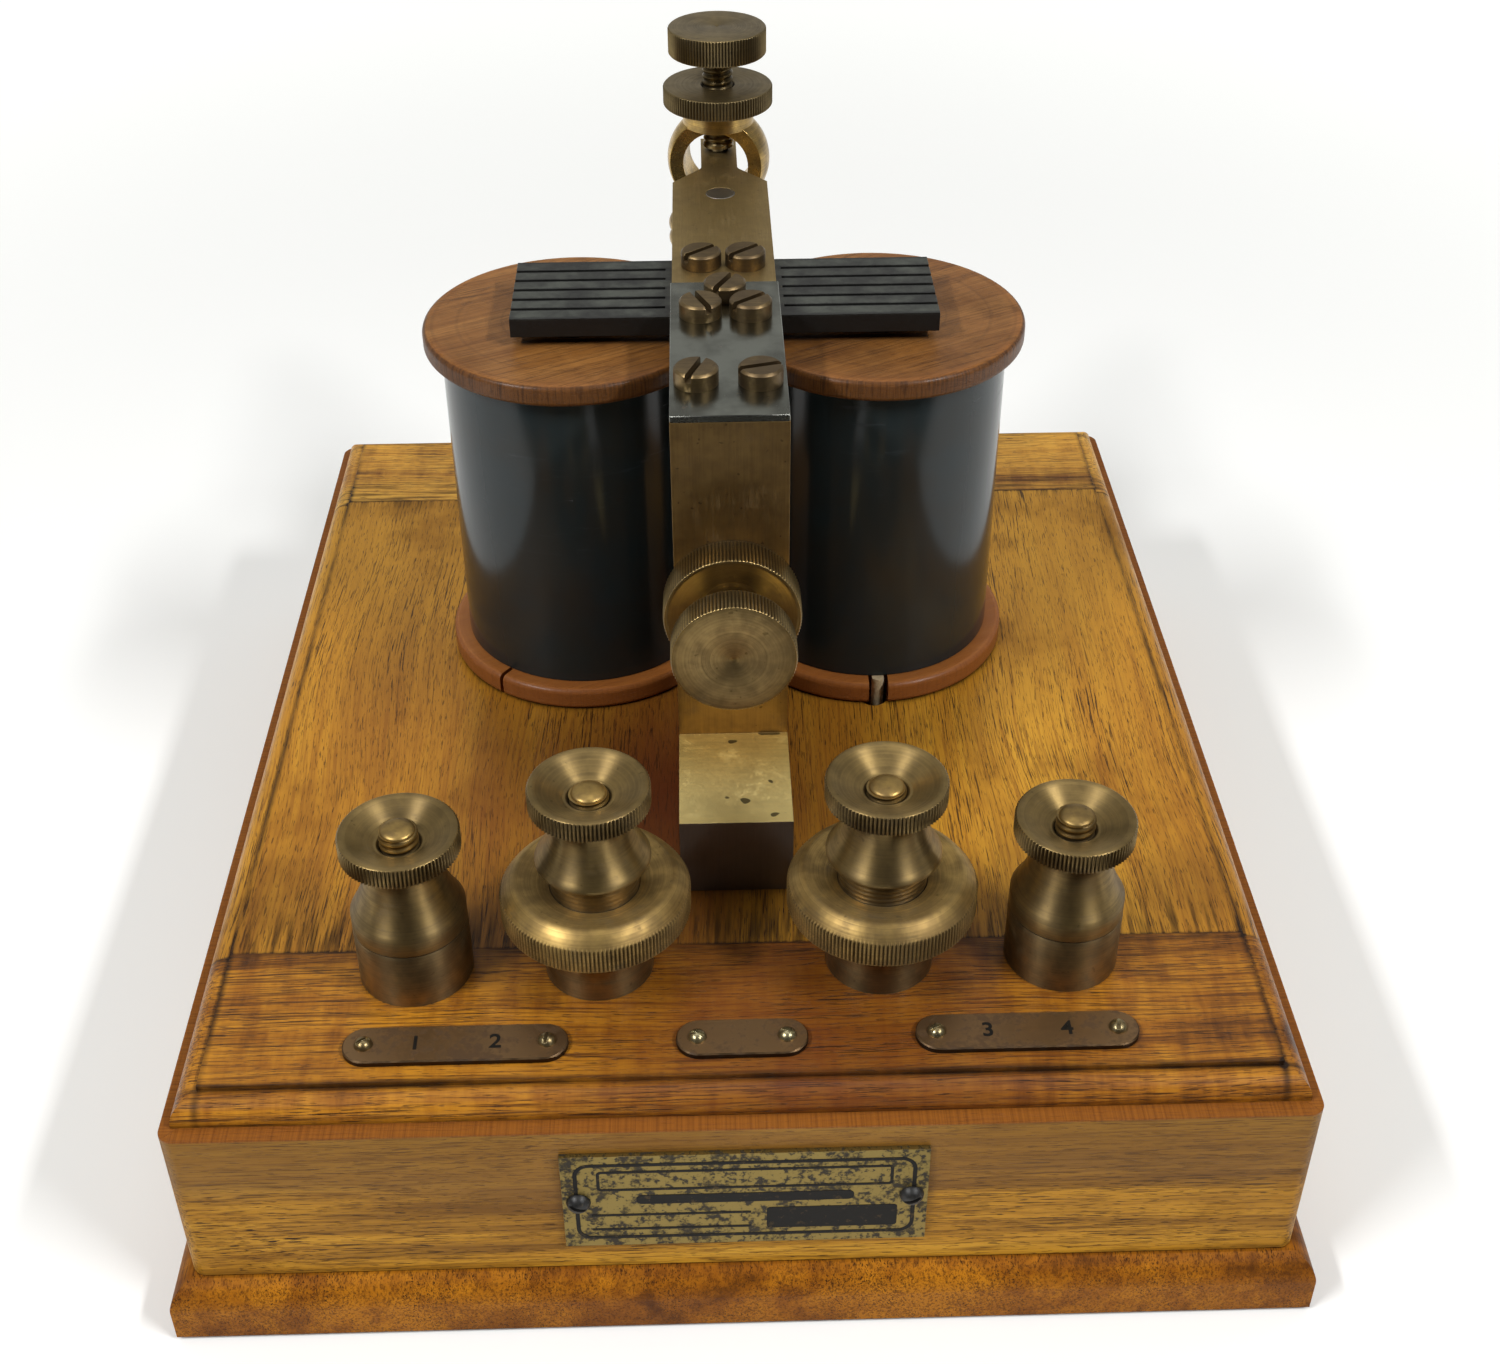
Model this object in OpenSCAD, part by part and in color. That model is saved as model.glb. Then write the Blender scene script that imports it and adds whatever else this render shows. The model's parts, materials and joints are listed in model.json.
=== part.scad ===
// Keying relay: two coils in a wooden base pull a slotted iron armature on a brass lever.
// The lever hangs on a flat spring from a bracket and plays inside the eye of a contact pillar.
// Millimetres, +Z up, +Y to the back, origin under the middle of the base.

/* [Base box] */
// Width of the box, left to right
box_w = 178; // [150:1:220]
// Depth of the box, front to back
box_d = 210; // [186:1:260]
// Height of the box walls
wall_h = 32; // [28:1:60]
// Thickness of the box walls
wall_t = 9.5; // [8:0.5:14]
// Radius of the upright corners
corner_r = 2.5; // [1:0.5:5]
// Thickness of the base board
board_t = 12; // [9:0.5:20]
// How far the base board stands out past the walls
board_out = 3.5; // [2:0.5:6]
// Radius of the base board's nosing
nosing_r = 5; // [3:0.5:6.5]
// Bevel under the edge of the base board
board_bevel = 0.8; // [0.4:0.1:1.5]
// Shank diameter of the base screws
base_screw_d = 4; // [3:0.5:5]
// Head diameter of the base screws
base_head_d = 8; // [7:0.5:9]
// Length of the base screws inside the wall
base_screw_bite = 16; // [10:1:20]
// Distance of the base screws from the box corners
base_screw_in = 30; // [20:1:50]

/* [Lid] */
// Ledge of wall left bare along the sides
side_ledge = 1.8; // [1:0.2:4]
// Ledge of wall left bare at the front and back
end_ledge = 2.8; // [1:0.2:4]
// Height of the fillet under the lid's moulding
fillet_h = 0.7; // [0.4:0.1:2]
// Radius of the lid's moulding
ovolo_r = 3.2; // [2:0.2:5]
// Width of the flat between the moulding and the top
quirk_w = 0.7; // [0.4:0.1:2]
// Height of the step up to the top of the lid
quirk_h = 0.9; // [0.4:0.1:2]
// Depth of the lid's lower part, let in between the walls
let_in = 7.9; // [6:0.1:11]
// Width of the cleat across the front of the lid
front_cleat_w = 32.4; // [26:0.2:44]
// Width of the cleat across the back of the lid
rear_cleat_w = 29.8; // [26:0.2:44]
// Length of the tongue between panel and cleat
lid_tongue_l = 6; // [3:0.5:9]
// Thickness of the tongue between panel and cleat
lid_tongue_t = 4; // [3:0.5:5]

/* [Electromagnet] */
// Distance between the two coil axes
coil_pitch = 55.4; // [54.6:0.2:70]
// Coil axes, distance behind the middle of the base
coil_y = 21.3; // [15:0.1:28]
// Diameter of the bobbin flanges
flange_d = 53.7; // [46:0.1:54]
// Thickness of the lower flange
lower_flange_t = 4.4; // [3.2:0.2:8]
// Thickness of the upper flange
upper_flange_t = 4; // [3.2:0.2:8]
// Rounding of the flange edges
flange_edge_r = 1.1; // [0.5:0.1:1.4]
// Length of the coil between the flanges
coil_l = 60.3; // [45:0.1:80]
// Diameter of the coil cover
cover_d = 47.5; // [38:0.5:48]
// Thickness of the coil cover
cover_t = 1; // [0.6:0.1:2]
// Wall of the bobbin's barrel
barrel_t = 2.4; // [1.6:0.2:4]
// Diameter of the iron cores
core_d = 16; // [10:0.5:18]
// How far a core stands above the upper flange
pole_rise = 1; // [0.5:0.1:3]
// Air gap between poles and armature at rest
air_gap = 1; // [0.9:0.1:2]
// Width of the yoke under the lid
yoke_w = 22; // [18:0.5:30]
// Thickness of the yoke
yoke_t = 9.5; // [6:0.5:11]
// Shank diameter of the core screws
core_screw_d = 6; // [4:0.5:7]
// Diameter of the cloth-covered coil lead
lead_d = 2.4; // [1.6:0.1:3]
// Width of the notch for the lead in the right lower flange
notch_w = 3.7; // [3.2:0.1:5]
// Diameter of the lead's hole in the lid
lead_hole_d = 5; // [4:0.1:6]
// Width of the saw slit in the left lower flange
slit_w = 0.8; // [0.5:0.1:1.5]
// Direction of the saw slit round the coil axis
slit_angle = 233; // [215:1:255]
// Diameter of the connecting wires inside the box
wire_d = 1.6; // [1:0.1:2]

/* [Bracket and spring] */
// Width of the bracket's bar
bar_w = 19; // [17:0.5:21]
// Depth of the bracket's upright
upright_d = 22.5; // [16:0.5:26]
// Back face of the upright, behind the middle of the base
upright_back_y = -10.5; // [-13:0.5:-9]
// Height of the bracket's foot
foot_h = 15; // [10:0.5:20]
// Space between the foot and the ring nuts
foot_gap = 1.4; // [1:0.1:6]
// Shank diameter of the screws under the foot
foot_screw_d = 5; // [4:0.5:6]
// Thickness of the hinge spring
spring_t = 1.2; // [0.5:0.1:1.6]
// Free length of the hinge spring
spring_span = 7.5; // [5:0.5:10]
// Length of the hinge spring over the lever
spring_lap = 18.6; // [17:0.2:22]
// Thickness of the tension leaf
leaf_t = 0.5; // [0.3:0.1:0.9]
// Gap between the upright and the tension leaf
leaf_gap = 3.2; // [2:0.1:4]
// Height of the tension screw above the lid
tension_h = 43.7; // [36:0.1:52]
// Length of the tension leaf below the tension screw
leaf_tail = 5; // [4:0.5:8]

/* [Lever and armature] */
// Width of the lever
lever_w = 18.6; // [16.6:0.2:19]
// Thickness of the lever
lever_t = 3.2; // [2.6:0.1:5]
// Length of the slanted shoulders
shoulder_l = 7; // [5:0.5:8]
// Width of the tongue in the eye
tongue_w = 7.2; // [5:0.2:7.6]
// Length of the tongue
tongue_l = 16; // [14:0.5:18]
// Radius at the root of the tongue
tongue_root_r = 2.4; // [1:0.1:3]
// Length of the tongue behind the eye's middle
tongue_past = 6; // [5:0.5:7]
// How far the armature reaches past the coil axes
armature_past = 10; // [6:0.5:14]
// Width of the armature, front to back
armature_w = 23.4; // [20:0.2:28]
// Thickness of the armature
armature_t = 3.5; // [3:0.1:6]
// Depth of the armature's housing in the lever
housing_depth = 1.2; // [0.6:0.1:1.4]
// Number of saw slots in each half of the armature
slot_count = 5; // [3:1:7]
// Width of the saw slots
slot_w = 0.8; // [0.5:0.1:1.2]
// Distance from the lever to the closed ends of the slots
slot_stop = 1.2; // [0.8:0.1:3]
// Diameter of the contact rivet
rivet_d = 5.6; // [4:0.2:7]
// Rivet, distance in front of the shoulders
rivet_in = 5.7; // [4:0.1:9]
// Diameter of the contact discs
contact_d = 9; // [7:0.5:10]
// Thickness of the contact discs
contact_t = 1.2; // [0.8:0.1:2]
// Opening of the contact at rest
contact_gap = 1.2; // [1.2:0.1:2.5]

/* [Machine screws] */
// Shank diameter of the lever screws
screw_d = 4.1; // [3:0.1:4.4]
// Head diameter of the lever screws
screw_head_d = 7.3; // [6:0.1:7.6]
// Head height of the lever screws
screw_head_h = 2.9; // [2:0.1:3.6]
// Width of the screwdriver slots
driver_w = 1.1; // [0.8:0.1:1.4]
// Depth of the screwdriver slots
driver_depth = 1.3; // [0.8:0.1:1.6]
// Half the distance between the two spring clamp screws
clamp_screw_x = 5.2; // [4.6:0.1:5.4]
// Half the distance between the front lever screws
front_screw_x = 4.3; // [4.1:0.1:4.8]
// Front lever screws, distance behind the lever's front end
front_screw_at = 5.8; // [5:0.1:6.2]
// Middle lever screw, distance behind the lever's front end
middle_screw_at = 13.1; // [13:0.1:14]
// Half the distance between the armature screws
armature_screw_x = 4; // [3.9:0.1:5]
// Armature screws, distance behind the coil axes
armature_screw_back = 5.3; // [3:0.1:6]

/* [Contact pillar] */
// Contact pillar, distance in front of the back of the box
pillar_in = 23; // [20:0.5:27]
// Diameter of the ball that the eye is cut from
eye_d = 20.8; // [20:0.1:24]
// Length of the eye between its flat faces
eye_l = 9; // [7:0.1:12]
// Bore of the eye
eye_bore = 13.2; // [12:0.1:14]
// Turn of the eye about the pillar
eye_turn = -9; // [-18:1:18]
// Diameter of the boss on the eye
boss_d = 14.2; // [12:0.1:15]
// Height of the boss above the ball
boss_rise = 0.8; // [0.5:0.1:4]
// Diameter of the pillar's shaft
shaft_d = 13; // [9:0.5:16]
// Diameter of the pillar's foot
pillar_foot_d = 24; // [18:0.5:26]
// Thickness of the pillar's foot
pillar_foot_t = 4; // [3:0.5:8]
// Diameter of the beaded collar
collar_d = 21; // [18:0.5:24]
// Radius of each bead on the collar
bead_r = 1.6; // [1:0.1:2.4]
// Distance from the collar to the eye
collar_drop = 1.9; // [1.5:0.1:8]
// Diameter of the neck under the eye
neck_d = 10; // [7:0.5:12]
// Diameter of the stems through the lid
stem_d = 8; // [5:0.5:9]
// Diameter of the anvil post
anvil_d = 12; // [10:0.5:16]

/* [Adjusting screws] */
// Diameter of the stop and tension screws
thread_d = 6.2; // [5:0.1:7]
// Diameter of the stop screw's knob
stop_knob_d = 19.4; // [16:0.2:24]
// Height of the stop screw's knob
stop_knob_h = 5.2; // [4:0.2:8]
// Thread shown between stop knob and lock nut
stop_thread_show = 6.3; // [5:0.1:12]
// Diameter of the stop screw's lock nut
stop_lock_d = 21.9; // [16:0.2:26]
// Height of the stop screw's lock nut
stop_lock_h = 3.9; // [3:0.1:6]
// Diameter of the contact tip
tip_d = 4; // [3:0.2:5]
// Height of the contact tip
tip_h = 1; // [0.6:0.1:2]
// Diameter of the tension screw's knob
tension_knob_d = 20.4; // [16:0.2:24]
// Thickness of the tension screw's knob
tension_knob_h = 5.1; // [4:0.1:8]
// Distance of the tension knob from the upright
tension_knob_gap = 12.7; // [12:0.1:16]
// Diameter of the tension screw's lock nut
tension_lock_d = 22.9; // [18:0.1:26]
// Thickness of the tension screw's lock nut
tension_lock_h = 6.2; // [5:0.1:7]
// Depth of the dish in the tension lock nut
tension_dish = 3.2; // [1.5:0.1:4]
// Bevel on the edges of knobs and nuts
knob_bevel = 0.4; // [0.2:0.1:0.8]

/* [Binding posts] */
// Post row, distance behind the front of the box
post_in = 31.5; // [30:0.1:33]
// Half the distance between the outer posts
outer_post_x = 52.4; // [50:0.1:60]
// Half the distance between the inner posts
inner_post_x = 22.7; // [22:0.1:26]
// Diameter of the studs
stud_d = 6.35; // [5:0.05:7]
// Diameter of the outer barrels
outer_barrel_d = 18.3; // [14:0.1:20]
// Height of the outer barrels
outer_barrel_h = 10.5; // [9:0.1:16]
// Diameter of the inner barrels' plain part
inner_barrel_d = 17.5; // [16:0.1:19]
// Height of the inner barrels' plain part
inner_barrel_h = 12.2; // [9:0.1:16]
// Diameter of the inner barrels' threaded part
ring_thread_d = 14.2; // [13:0.1:16.8]
// Height of the inner barrels' threaded part
ring_thread_h = 10.5; // [10.2:0.1:14]
// Diameter of the ring nuts
ring_nut_d = 30.2; // [24:0.2:31]
// Height of the ring nuts' milled band
ring_band_h = 4.6; // [4:0.1:5.2]
// Rise of the ring nuts' rounded top
ring_crown = 2.2; // [1:0.1:2.4]
// Diameter of the crest of the ring nuts' top
ring_crest_d = 24.4; // [20:0.2:26]
// Diameter of the thumb nuts' skirt
skirt_d = 18.2; // [15:0.1:20]
// Height of the outer nuts' skirt band
outer_skirt_h = 3.2; // [1:0.1:4]
// Height of the inner nuts' skirt band
inner_skirt_h = 0.8; // [0.6:0.1:4]
// Height of the outer nuts' flare
outer_flare_h = 9.9; // [5:0.1:12]
// Height of the inner nuts' flare
inner_flare_h = 8.5; // [5:0.1:12]
// Diameter of the thumb nuts' neck
nut_neck_d = 12.2; // [9.6:0.1:13]
// Length of the thumb nuts' neck
nut_neck_l = 1.6; // [1:0.1:5]
// Diameter of the thumb nuts' head
nut_head_d = 19; // [16:0.1:22]
// Height of the thumb nuts' milled head
nut_head_h = 3.7; // [3:0.1:6]
// Depth of the dish in the thumb nuts' head
nut_dish = 2.2; // [1.5:0.1:3]
// Width of the rim round the dish
nut_rim = 0.8; // [0.5:0.1:1.5]
// How far the outer studs stand above their thumb nuts
stud_proud = 1; // [0.2:0.1:3]
// How far the inner studs end below the tops of their thumb nuts
stud_sunk = 0.7; // [0.2:0.1:1.2]

/* [Plates] */
// Label plates, distance of their middle behind the front of the box
label_in = 13.6; // [13:0.1:14.5]
// Thickness of the label plates
label_t = 1; // [0.6:0.1:1.5]
// Width of the label plates
label_w = 9.2; // [8:0.1:10]
// Length of the side label plates
side_label_l = 35; // [28:0.5:44]
// Middle of the side label plates
side_label_x = 44.5; // [42:0.1:50]
// Half the distance between a side label's screws
side_label_screw_x = 14.2; // [9:0.1:14.5]
// Length of the centre label plate
centre_label_l = 20.6; // [18:0.2:30]
// Half the distance between the centre label's screws
centre_label_screw_x = 7; // [5:0.1:7.4]
// Head diameter of the label screws
label_head_d = 3; // [2.4:0.1:4]
// Width of the nameplate
nameplate_w = 57; // [46:0.5:70]
// Height of the nameplate
nameplate_h = 21.2; // [16:0.2:24]
// Thickness of the nameplate
nameplate_t = 0.8; // [0.5:0.1:1.5]
// Head diameter of the nameplate screws
nameplate_head_d = 3.9; // [3:0.1:4.5]
// Nameplate screws, distance from the plate's ends
nameplate_screw_in = 2.5; // [2.3:0.1:5]

/* [Hidden] */
$fn = 72;
// Fits: sliding parts, fixed parts, seats of moving parts, overlap of cutting tools
slip = 0.06;
fit = 0.1;
seat = 0.05;
cut = 1;
facet_steps = 8;
hw = box_w / 2;
hd = box_d / 2;
wall_z = board_t;
wall_top = wall_z + wall_h;
lid_rise = fillet_h + ovolo_r + quirk_h;
lid_top = wall_top + lid_rise;
lid_under = wall_top - let_in;
lid_hw = hw - side_ledge;
lid_hd = hd - end_ledge;
inner_w = box_w - 2 * wall_t;
inner_d = box_d - 2 * wall_t;
front_joint_y = -lid_hd + front_cleat_w;
rear_joint_y = lid_hd - rear_cleat_w;
tongue_mid_z = (lid_under + lid_top) / 2;
base_screw_x = hw - wall_t / 2;
base_screw_y = hd - wall_t / 2;
base_screw_xs = hw - base_screw_in;
base_screw_ys = hd - base_screw_in;

// Coil stack from the lid upwards
coil_x = coil_pitch / 2;
flange_top = lid_top + lower_flange_t + coil_l + upper_flange_t;
pole_z = flange_top + pole_rise;
barrel_r = core_d / 2 + fit + barrel_t;
lead_r = cover_d / 2 + lead_d / 8;
lead_x = coil_x + cut / 2;
lead_y = coil_y - lead_r;
hole_shift = ((lead_hole_d - lead_d) / 2 - 2 * fit) / sqrt(2);
yoke_l = coil_pitch + yoke_w;
yoke_z = lid_under - yoke_t;
core_head_d = core_screw_d * 1.7;
core_head_h = core_screw_d * 0.65;
core_tap = core_screw_d * 2;
wire_top = yoke_z - core_head_h - wire_d;
wire_low = wire_top - wire_d - cut / 2;
lead_hole_r = barrel_r + wire_d * 2;

// Lever stack from the poles upwards
armature_z = pole_z + air_gap;
armature_top = armature_z + armature_t;
armature_l = coil_pitch + 2 * armature_past;
lever_z = armature_top - housing_depth;
lever_top = lever_z + lever_t;
spring_z = lever_top + leaf_t;
spring_top = spring_z + spring_t;
lever_front = upright_back_y + spring_span;
eye_y = hd - pillar_in;
tongue_end = eye_y + tongue_past;
tongue_y = tongue_end - tongue_l;
shoulder_y = tongue_y - shoulder_l;
spring_back = lever_front + spring_lap;
upright_front_y = upright_back_y - upright_d;
upright_mid_y = upright_back_y - upright_d / 2;
leaf_y = upright_back_y + leaf_gap;
tension_z = lid_top + tension_h;
slot_pitch = armature_w / (slot_count + 1);
slot_x = lever_w / 2 + slot_stop;
slot_l = armature_l / 2 - slot_x;
rivet_y = shoulder_y - rivet_in;
anvil_top = lever_z - contact_t - contact_gap;
armature_screw_y = coil_y + armature_screw_back;
clamp_len = 10;
foot_tap = foot_h * 0.7;
foot_head_d = foot_screw_d * 1.8;
foot_head_h = foot_screw_d * 0.65;

// Binding posts
post_y = -hd + post_in;
post_xs = [-outer_post_x, -inner_post_x, inner_post_x, outer_post_x];
outer_seat_z = lid_top + outer_barrel_h;
ring_seat_z = lid_top + inner_barrel_h;
inner_seat_z = ring_seat_z + ring_thread_h;
nut_top_h = nut_neck_l + nut_head_h;
outer_nut_h = outer_skirt_h + outer_flare_h + nut_top_h;
inner_nut_h = inner_skirt_h + inner_flare_h + nut_top_h;
foot_front_y = post_y + ring_nut_d / 2 + foot_gap;
foot_screw_front = foot_front_y + bar_w / 2;
foot_screw_back = upright_mid_y;
washer_t = 1.2;
washer_d = stud_d * 2.2;
hex_h = stud_d * 0.8;
hex_d = stud_d * 1.9;
stem_end = lid_under - washer_t - hex_h - cut;

// Eye and adjusting screws
eye_z = (lever_z + lever_top) / 2;
boss_top = eye_z + eye_d / 2 + boss_rise;
tension_rim_d = tension_lock_d - 2 * (knob_bevel + nut_rim / 2);
stop_lock_z = boss_top + seat;
stop_knob_z = stop_lock_z + stop_lock_h + stop_thread_show;
tip_z = lever_top + seat;
collar_top = eye_z - eye_d / 2 - collar_drop;
collar_h = 4 * bead_r;
tension_lock_y = upright_front_y - seat;
tension_knob_y = upright_front_y - tension_knob_gap;
knob_blind = 0.75;

label_y = -hd + label_in;
label_screw_len = 6;
nameplate_z = wall_z + wall_h * 0.52;
nameplate_screw_x = nameplate_w / 2 - nameplate_screw_in;

wood = [0.72, 0.43, 0.2];
dark_wood = [0.5, 0.26, 0.15];
brass = [0.72, 0.58, 0.32];
steel = [0.6, 0.62, 0.65];
iron = [0.22, 0.22, 0.23];
silver = [0.82, 0.82, 0.8];

// Height over the eye's middle where its ball has a given diameter
function ball_reach(d) = sqrt(pow(eye_d / 2, 2) - pow(d / 2, 2));

// Hollow curve from a wide edge up to a neck, as a row of points without its first one
function cove(r0, z0, r1, z1) = [for (i = [1 : facet_steps])
    [r1 + (r0 - r1) * pow(1 - i / facet_steps, 2), z0 + (z1 - z0) * i / facet_steps]];

// Half of an ogee between two radii, as a row of points without its first one
function ogee(r0, z0, r1, z1) = [for (i = [1 : facet_steps])
    [r0 + (r1 - r0) * (1 - cos(180 * i / facet_steps)) / 2, z0 + (z1 - z0) * i / facet_steps]];

// Upright bar between two corners
module bar(x0, x1, y0, y1, z0, z1) {
    translate([x0, y0, z0])
        cube([x1 - x0, y1 - y0, z1 - z0]);
}

// Upright round hole or pin
module rod(x, y, z0, z1, d) {
    translate([x, y, z0])
        cylinder(d = d, h = z1 - z0);
}

// Disc with bevelled edges and an optional bore
module disc(d, h, bore) {
    r = d / 2;
    b = knob_bevel;
    rotate_extrude()
        polygon([[bore / 2, 0], [r - b, 0], [r, b], [r, h - b], [r - b, h], [bore / 2, h]]);
}

// Slotted cheese-head screw, seat of the head at the origin, shank pointing down
module cheese_screw(d, head_d, head_h, len, turn) {
    difference() {
        union() {
            rotate_extrude()
                polygon([[0, 0], [head_d / 2, 0], [head_d / 2, head_h - knob_bevel],
                    [head_d / 2 - knob_bevel, head_h], [0, head_h]]);
            translate([0, 0, -len])
                cylinder(d = d, h = len + cut / 4);
        }
        rotate([0, 0, turn])
            translate([-head_d, -driver_w / 2, head_h - driver_depth])
                cube([2 * head_d, driver_w, driver_depth + cut]);
    }
}

// Slotted round-head screw, seat of the head at the origin, shank pointing down
module round_screw(head_d, len, turn) {
    head_h = head_d * 0.4;
    dome_r = (pow(head_d / 2, 2) + pow(head_h, 2)) / (2 * head_h);
    difference() {
        union() {
            intersection() {
                translate([0, 0, head_h - dome_r])
                    sphere(r = dome_r);
                cylinder(d = head_d, h = head_h + cut);
            }
            translate([0, 0, -len])
                cylinder(d = head_d * 0.45, h = len + cut / 4);
        }
        rotate([0, 0, turn])
            translate([-head_d, -head_d * 0.09, head_h * 0.55])
                cube([2 * head_d, head_d * 0.18, head_h]);
    }
}

// Wire along a row of points, with round bends
module wire(points, d) {
    for (i = [0 : len(points) - 2]) {
        v = points[i + 1] - points[i];
        run = norm(v);
        translate(points[i])
            rotate([0, acos(v[2] / run), atan2(v[1], v[0])])
                cylinder(d = d, h = run);
    }
    for (i = [1 : len(points) - 2])
        translate(points[i])
            sphere(d = d + fit);
}

// Section of the base board across a half width
module board_section(half) {
    edge = half + board_out;
    polygon([[-edge + board_bevel, 0], [edge - board_bevel, 0], [edge, board_bevel],
        [edge, board_t - nosing_r], [-edge, board_t - nosing_r], [-edge, board_bevel]]);
    translate([-edge + nosing_r, board_bevel])
        square([2 * (edge - nosing_r), board_t - board_bevel]);
    for (s = [-1, 1])
        intersection() {
            translate([s * (edge - nosing_r), board_t - nosing_r])
                circle(r = nosing_r);
            translate([-edge, board_bevel])
                square([2 * edge, board_t]);
        }
}

// Section of the moulded part of the lid across a half width
module lid_section(half) {
    ov = half - ovolo_r;
    top = ov - quirk_w;
    translate([-half, 0])
        square([2 * half, fillet_h]);
    translate([-ov, 0])
        square([2 * ov, fillet_h + ovolo_r]);
    translate([-top, 0])
        square([2 * top, lid_rise]);
    for (s = [-1, 1])
        intersection() {
            translate([s * ov, fillet_h])
                circle(r = ovolo_r);
            translate([-half, 0])
                square([2 * half, lid_rise]);
        }
}

// Holes of the base screws, wider than the screws by the gap given
module base_screw_set(gap, low) {
    for (s = [-1, 1], t = [-1, 1]) {
        translate([s * base_screw_xs, t * base_screw_y, low])
            base_screw(gap);
        translate([s * base_screw_x, t * base_screw_ys, low])
            base_screw(gap);
    }
}

// Countersunk wood screw pointing up
module base_screw(gap) {
    r = base_screw_d / 2 + gap;
    head_r = base_head_d / 2 + gap;
    end = board_t + base_screw_bite + gap;
    rotate_extrude()
        polygon([[0, seat], [head_r, seat], [r, seat + head_r - r], [r, end], [0, end]]);
}

module base_board() color(dark_wood)
    difference() {
        intersection() {
            rotate([90, 0, 0])
                linear_extrude(height = 2 * box_d, center = true)
                    board_section(hw);
            rotate([90, 0, 90])
                linear_extrude(height = 2 * box_w, center = true)
                    board_section(hd);
        }
        base_screw_set(fit, 0);
        for (s = [-1, 1], t = [-1, 1]) {
            rod(s * base_screw_xs, t * base_screw_y, -cut, 2 * seat, base_head_d + 2 * fit);
            rod(s * base_screw_x, t * base_screw_ys, -cut, 2 * seat, base_head_d + 2 * fit);
        }
    }

// Ring of the four walls with rounded outer corners
module wall_ring() {
    translate([0, 0, wall_z])
        linear_extrude(height = wall_h)
            difference() {
                union() {
                    square([box_w - 2 * corner_r, box_d], center = true);
                    square([box_w, box_d - 2 * corner_r], center = true);
                    for (s = [-1, 1], t = [-1, 1])
                        translate([s * (hw - corner_r), t * (hd - corner_r)])
                            circle(r = corner_r);
                }
                square([inner_w, inner_d], center = true);
            }
}

// Part of the wall ring along the front, or along the left side, between its mitres
module wall(side_len, other_half, turn) {
    half = side_len / 2;
    deep = wall_t * 2;
    difference() {
        intersection() {
            wall_ring();
            rotate([0, 0, turn])
                linear_extrude(height = 2 * wall_top)
                    polygon([[-half, -other_half], [half, -other_half], [half - deep, -other_half + deep],
                        [-half + deep, -other_half + deep]]);
        }
        base_screw_set(fit / 2, 0);
    }
}

module front_wall() color(wood)
    difference() {
        wall(box_w, hd, 0);
        for (s = [-1, 1])
            translate([s * nameplate_screw_x, -hd + label_screw_len + fit, nameplate_z])
                rotate([90, 0, 0])
                    cylinder(d = nameplate_head_d * 0.45 + fit, h = label_screw_len + cut);
    }

module rear_wall() color(wood)
    wall(box_w, hd, 180);

module left_wall() color(wood)
    wall(box_d, hw, -90);

module right_wall() color(wood)
    wall(box_d, hw, 90);

module base_screws() color(steel)
    difference() {
        base_screw_set(0, seat);
        for (s = [-1, 1], t = [-1, 1]) {
            bar(s * base_screw_xs - base_head_d, s * base_screw_xs + base_head_d,
                t * base_screw_y - driver_w / 2, t * base_screw_y + driver_w / 2, 0, driver_depth);
            bar(s * base_screw_x - base_head_d, s * base_screw_x + base_head_d,
                t * base_screw_ys - driver_w / 2, t * base_screw_ys + driver_w / 2, 0, driver_depth);
        }
    }

// Whole lid with all its holes, before it is divided into panel and cleats
module lid_blank() {
    low = lid_under - cut;
    high = lid_top + cut;
    difference() {
        union() {
            intersection() {
                translate([0, 0, wall_top])
                    rotate([90, 0, 0])
                        linear_extrude(height = 2 * box_d, center = true)
                            lid_section(lid_hw);
                translate([0, 0, wall_top])
                    rotate([90, 0, 90])
                        linear_extrude(height = 2 * box_w, center = true)
                            lid_section(lid_hd);
            }
            bar(-inner_w / 2 + fit, inner_w / 2 - fit, -inner_d / 2 + fit, inner_d / 2 - fit,
                lid_under, wall_top + fillet_h / 2);
        }
        for (x = post_xs)
            rod(x, post_y, low, high, stud_d + 2 * fit);
        for (s = [-1, 1]) {
            rod(s * coil_x, coil_y, low, high, core_d + 2 * fit);
            rod(s * coil_x, coil_y + lead_hole_r, low, high, wire_d + 4 * fit);
        }
        rod(-coil_x, coil_y - lead_hole_r, low, high, wire_d + 4 * fit);
        rod(0, foot_screw_front, low, high, foot_screw_d + 2 * fit);
        rod(0, foot_screw_back, low, high, foot_screw_d + 2 * fit);
        rod(0, eye_y, low, high, stem_d + 2 * fit);
        rod(0, rivet_y, low, high, stem_d + 2 * fit);
        rod(lead_x - hole_shift, lead_y - hole_shift, low, high, lead_hole_d);
        for (s = [-1, 1]) {
            rod(s * (side_label_x - side_label_screw_x), label_y, lid_top - label_screw_len, high,
                label_head_d * 0.45 + fit);
            rod(s * (side_label_x + side_label_screw_x), label_y, lid_top - label_screw_len, high,
                label_head_d * 0.45 + fit);
            rod(s * centre_label_screw_x, label_y, lid_top - label_screw_len, high,
                label_head_d * 0.45 + fit);
        }
    }
}

// Room for the panel's tongues in the cleats
module lid_tongues(gap) {
    half_t = lid_tongue_t / 2 + gap;
    half_w = inner_w / 2 - lid_tongue_l + gap;
    bar(-half_w, half_w, front_joint_y - lid_tongue_l - gap, rear_joint_y + lid_tongue_l + gap,
        tongue_mid_z - half_t, tongue_mid_z + half_t);
}

module lid_panel() color(wood)
    intersection() {
        lid_blank();
        union() {
            bar(-box_w, box_w, front_joint_y, rear_joint_y, 0, 2 * lid_top);
            lid_tongues(0);
        }
    }

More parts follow.
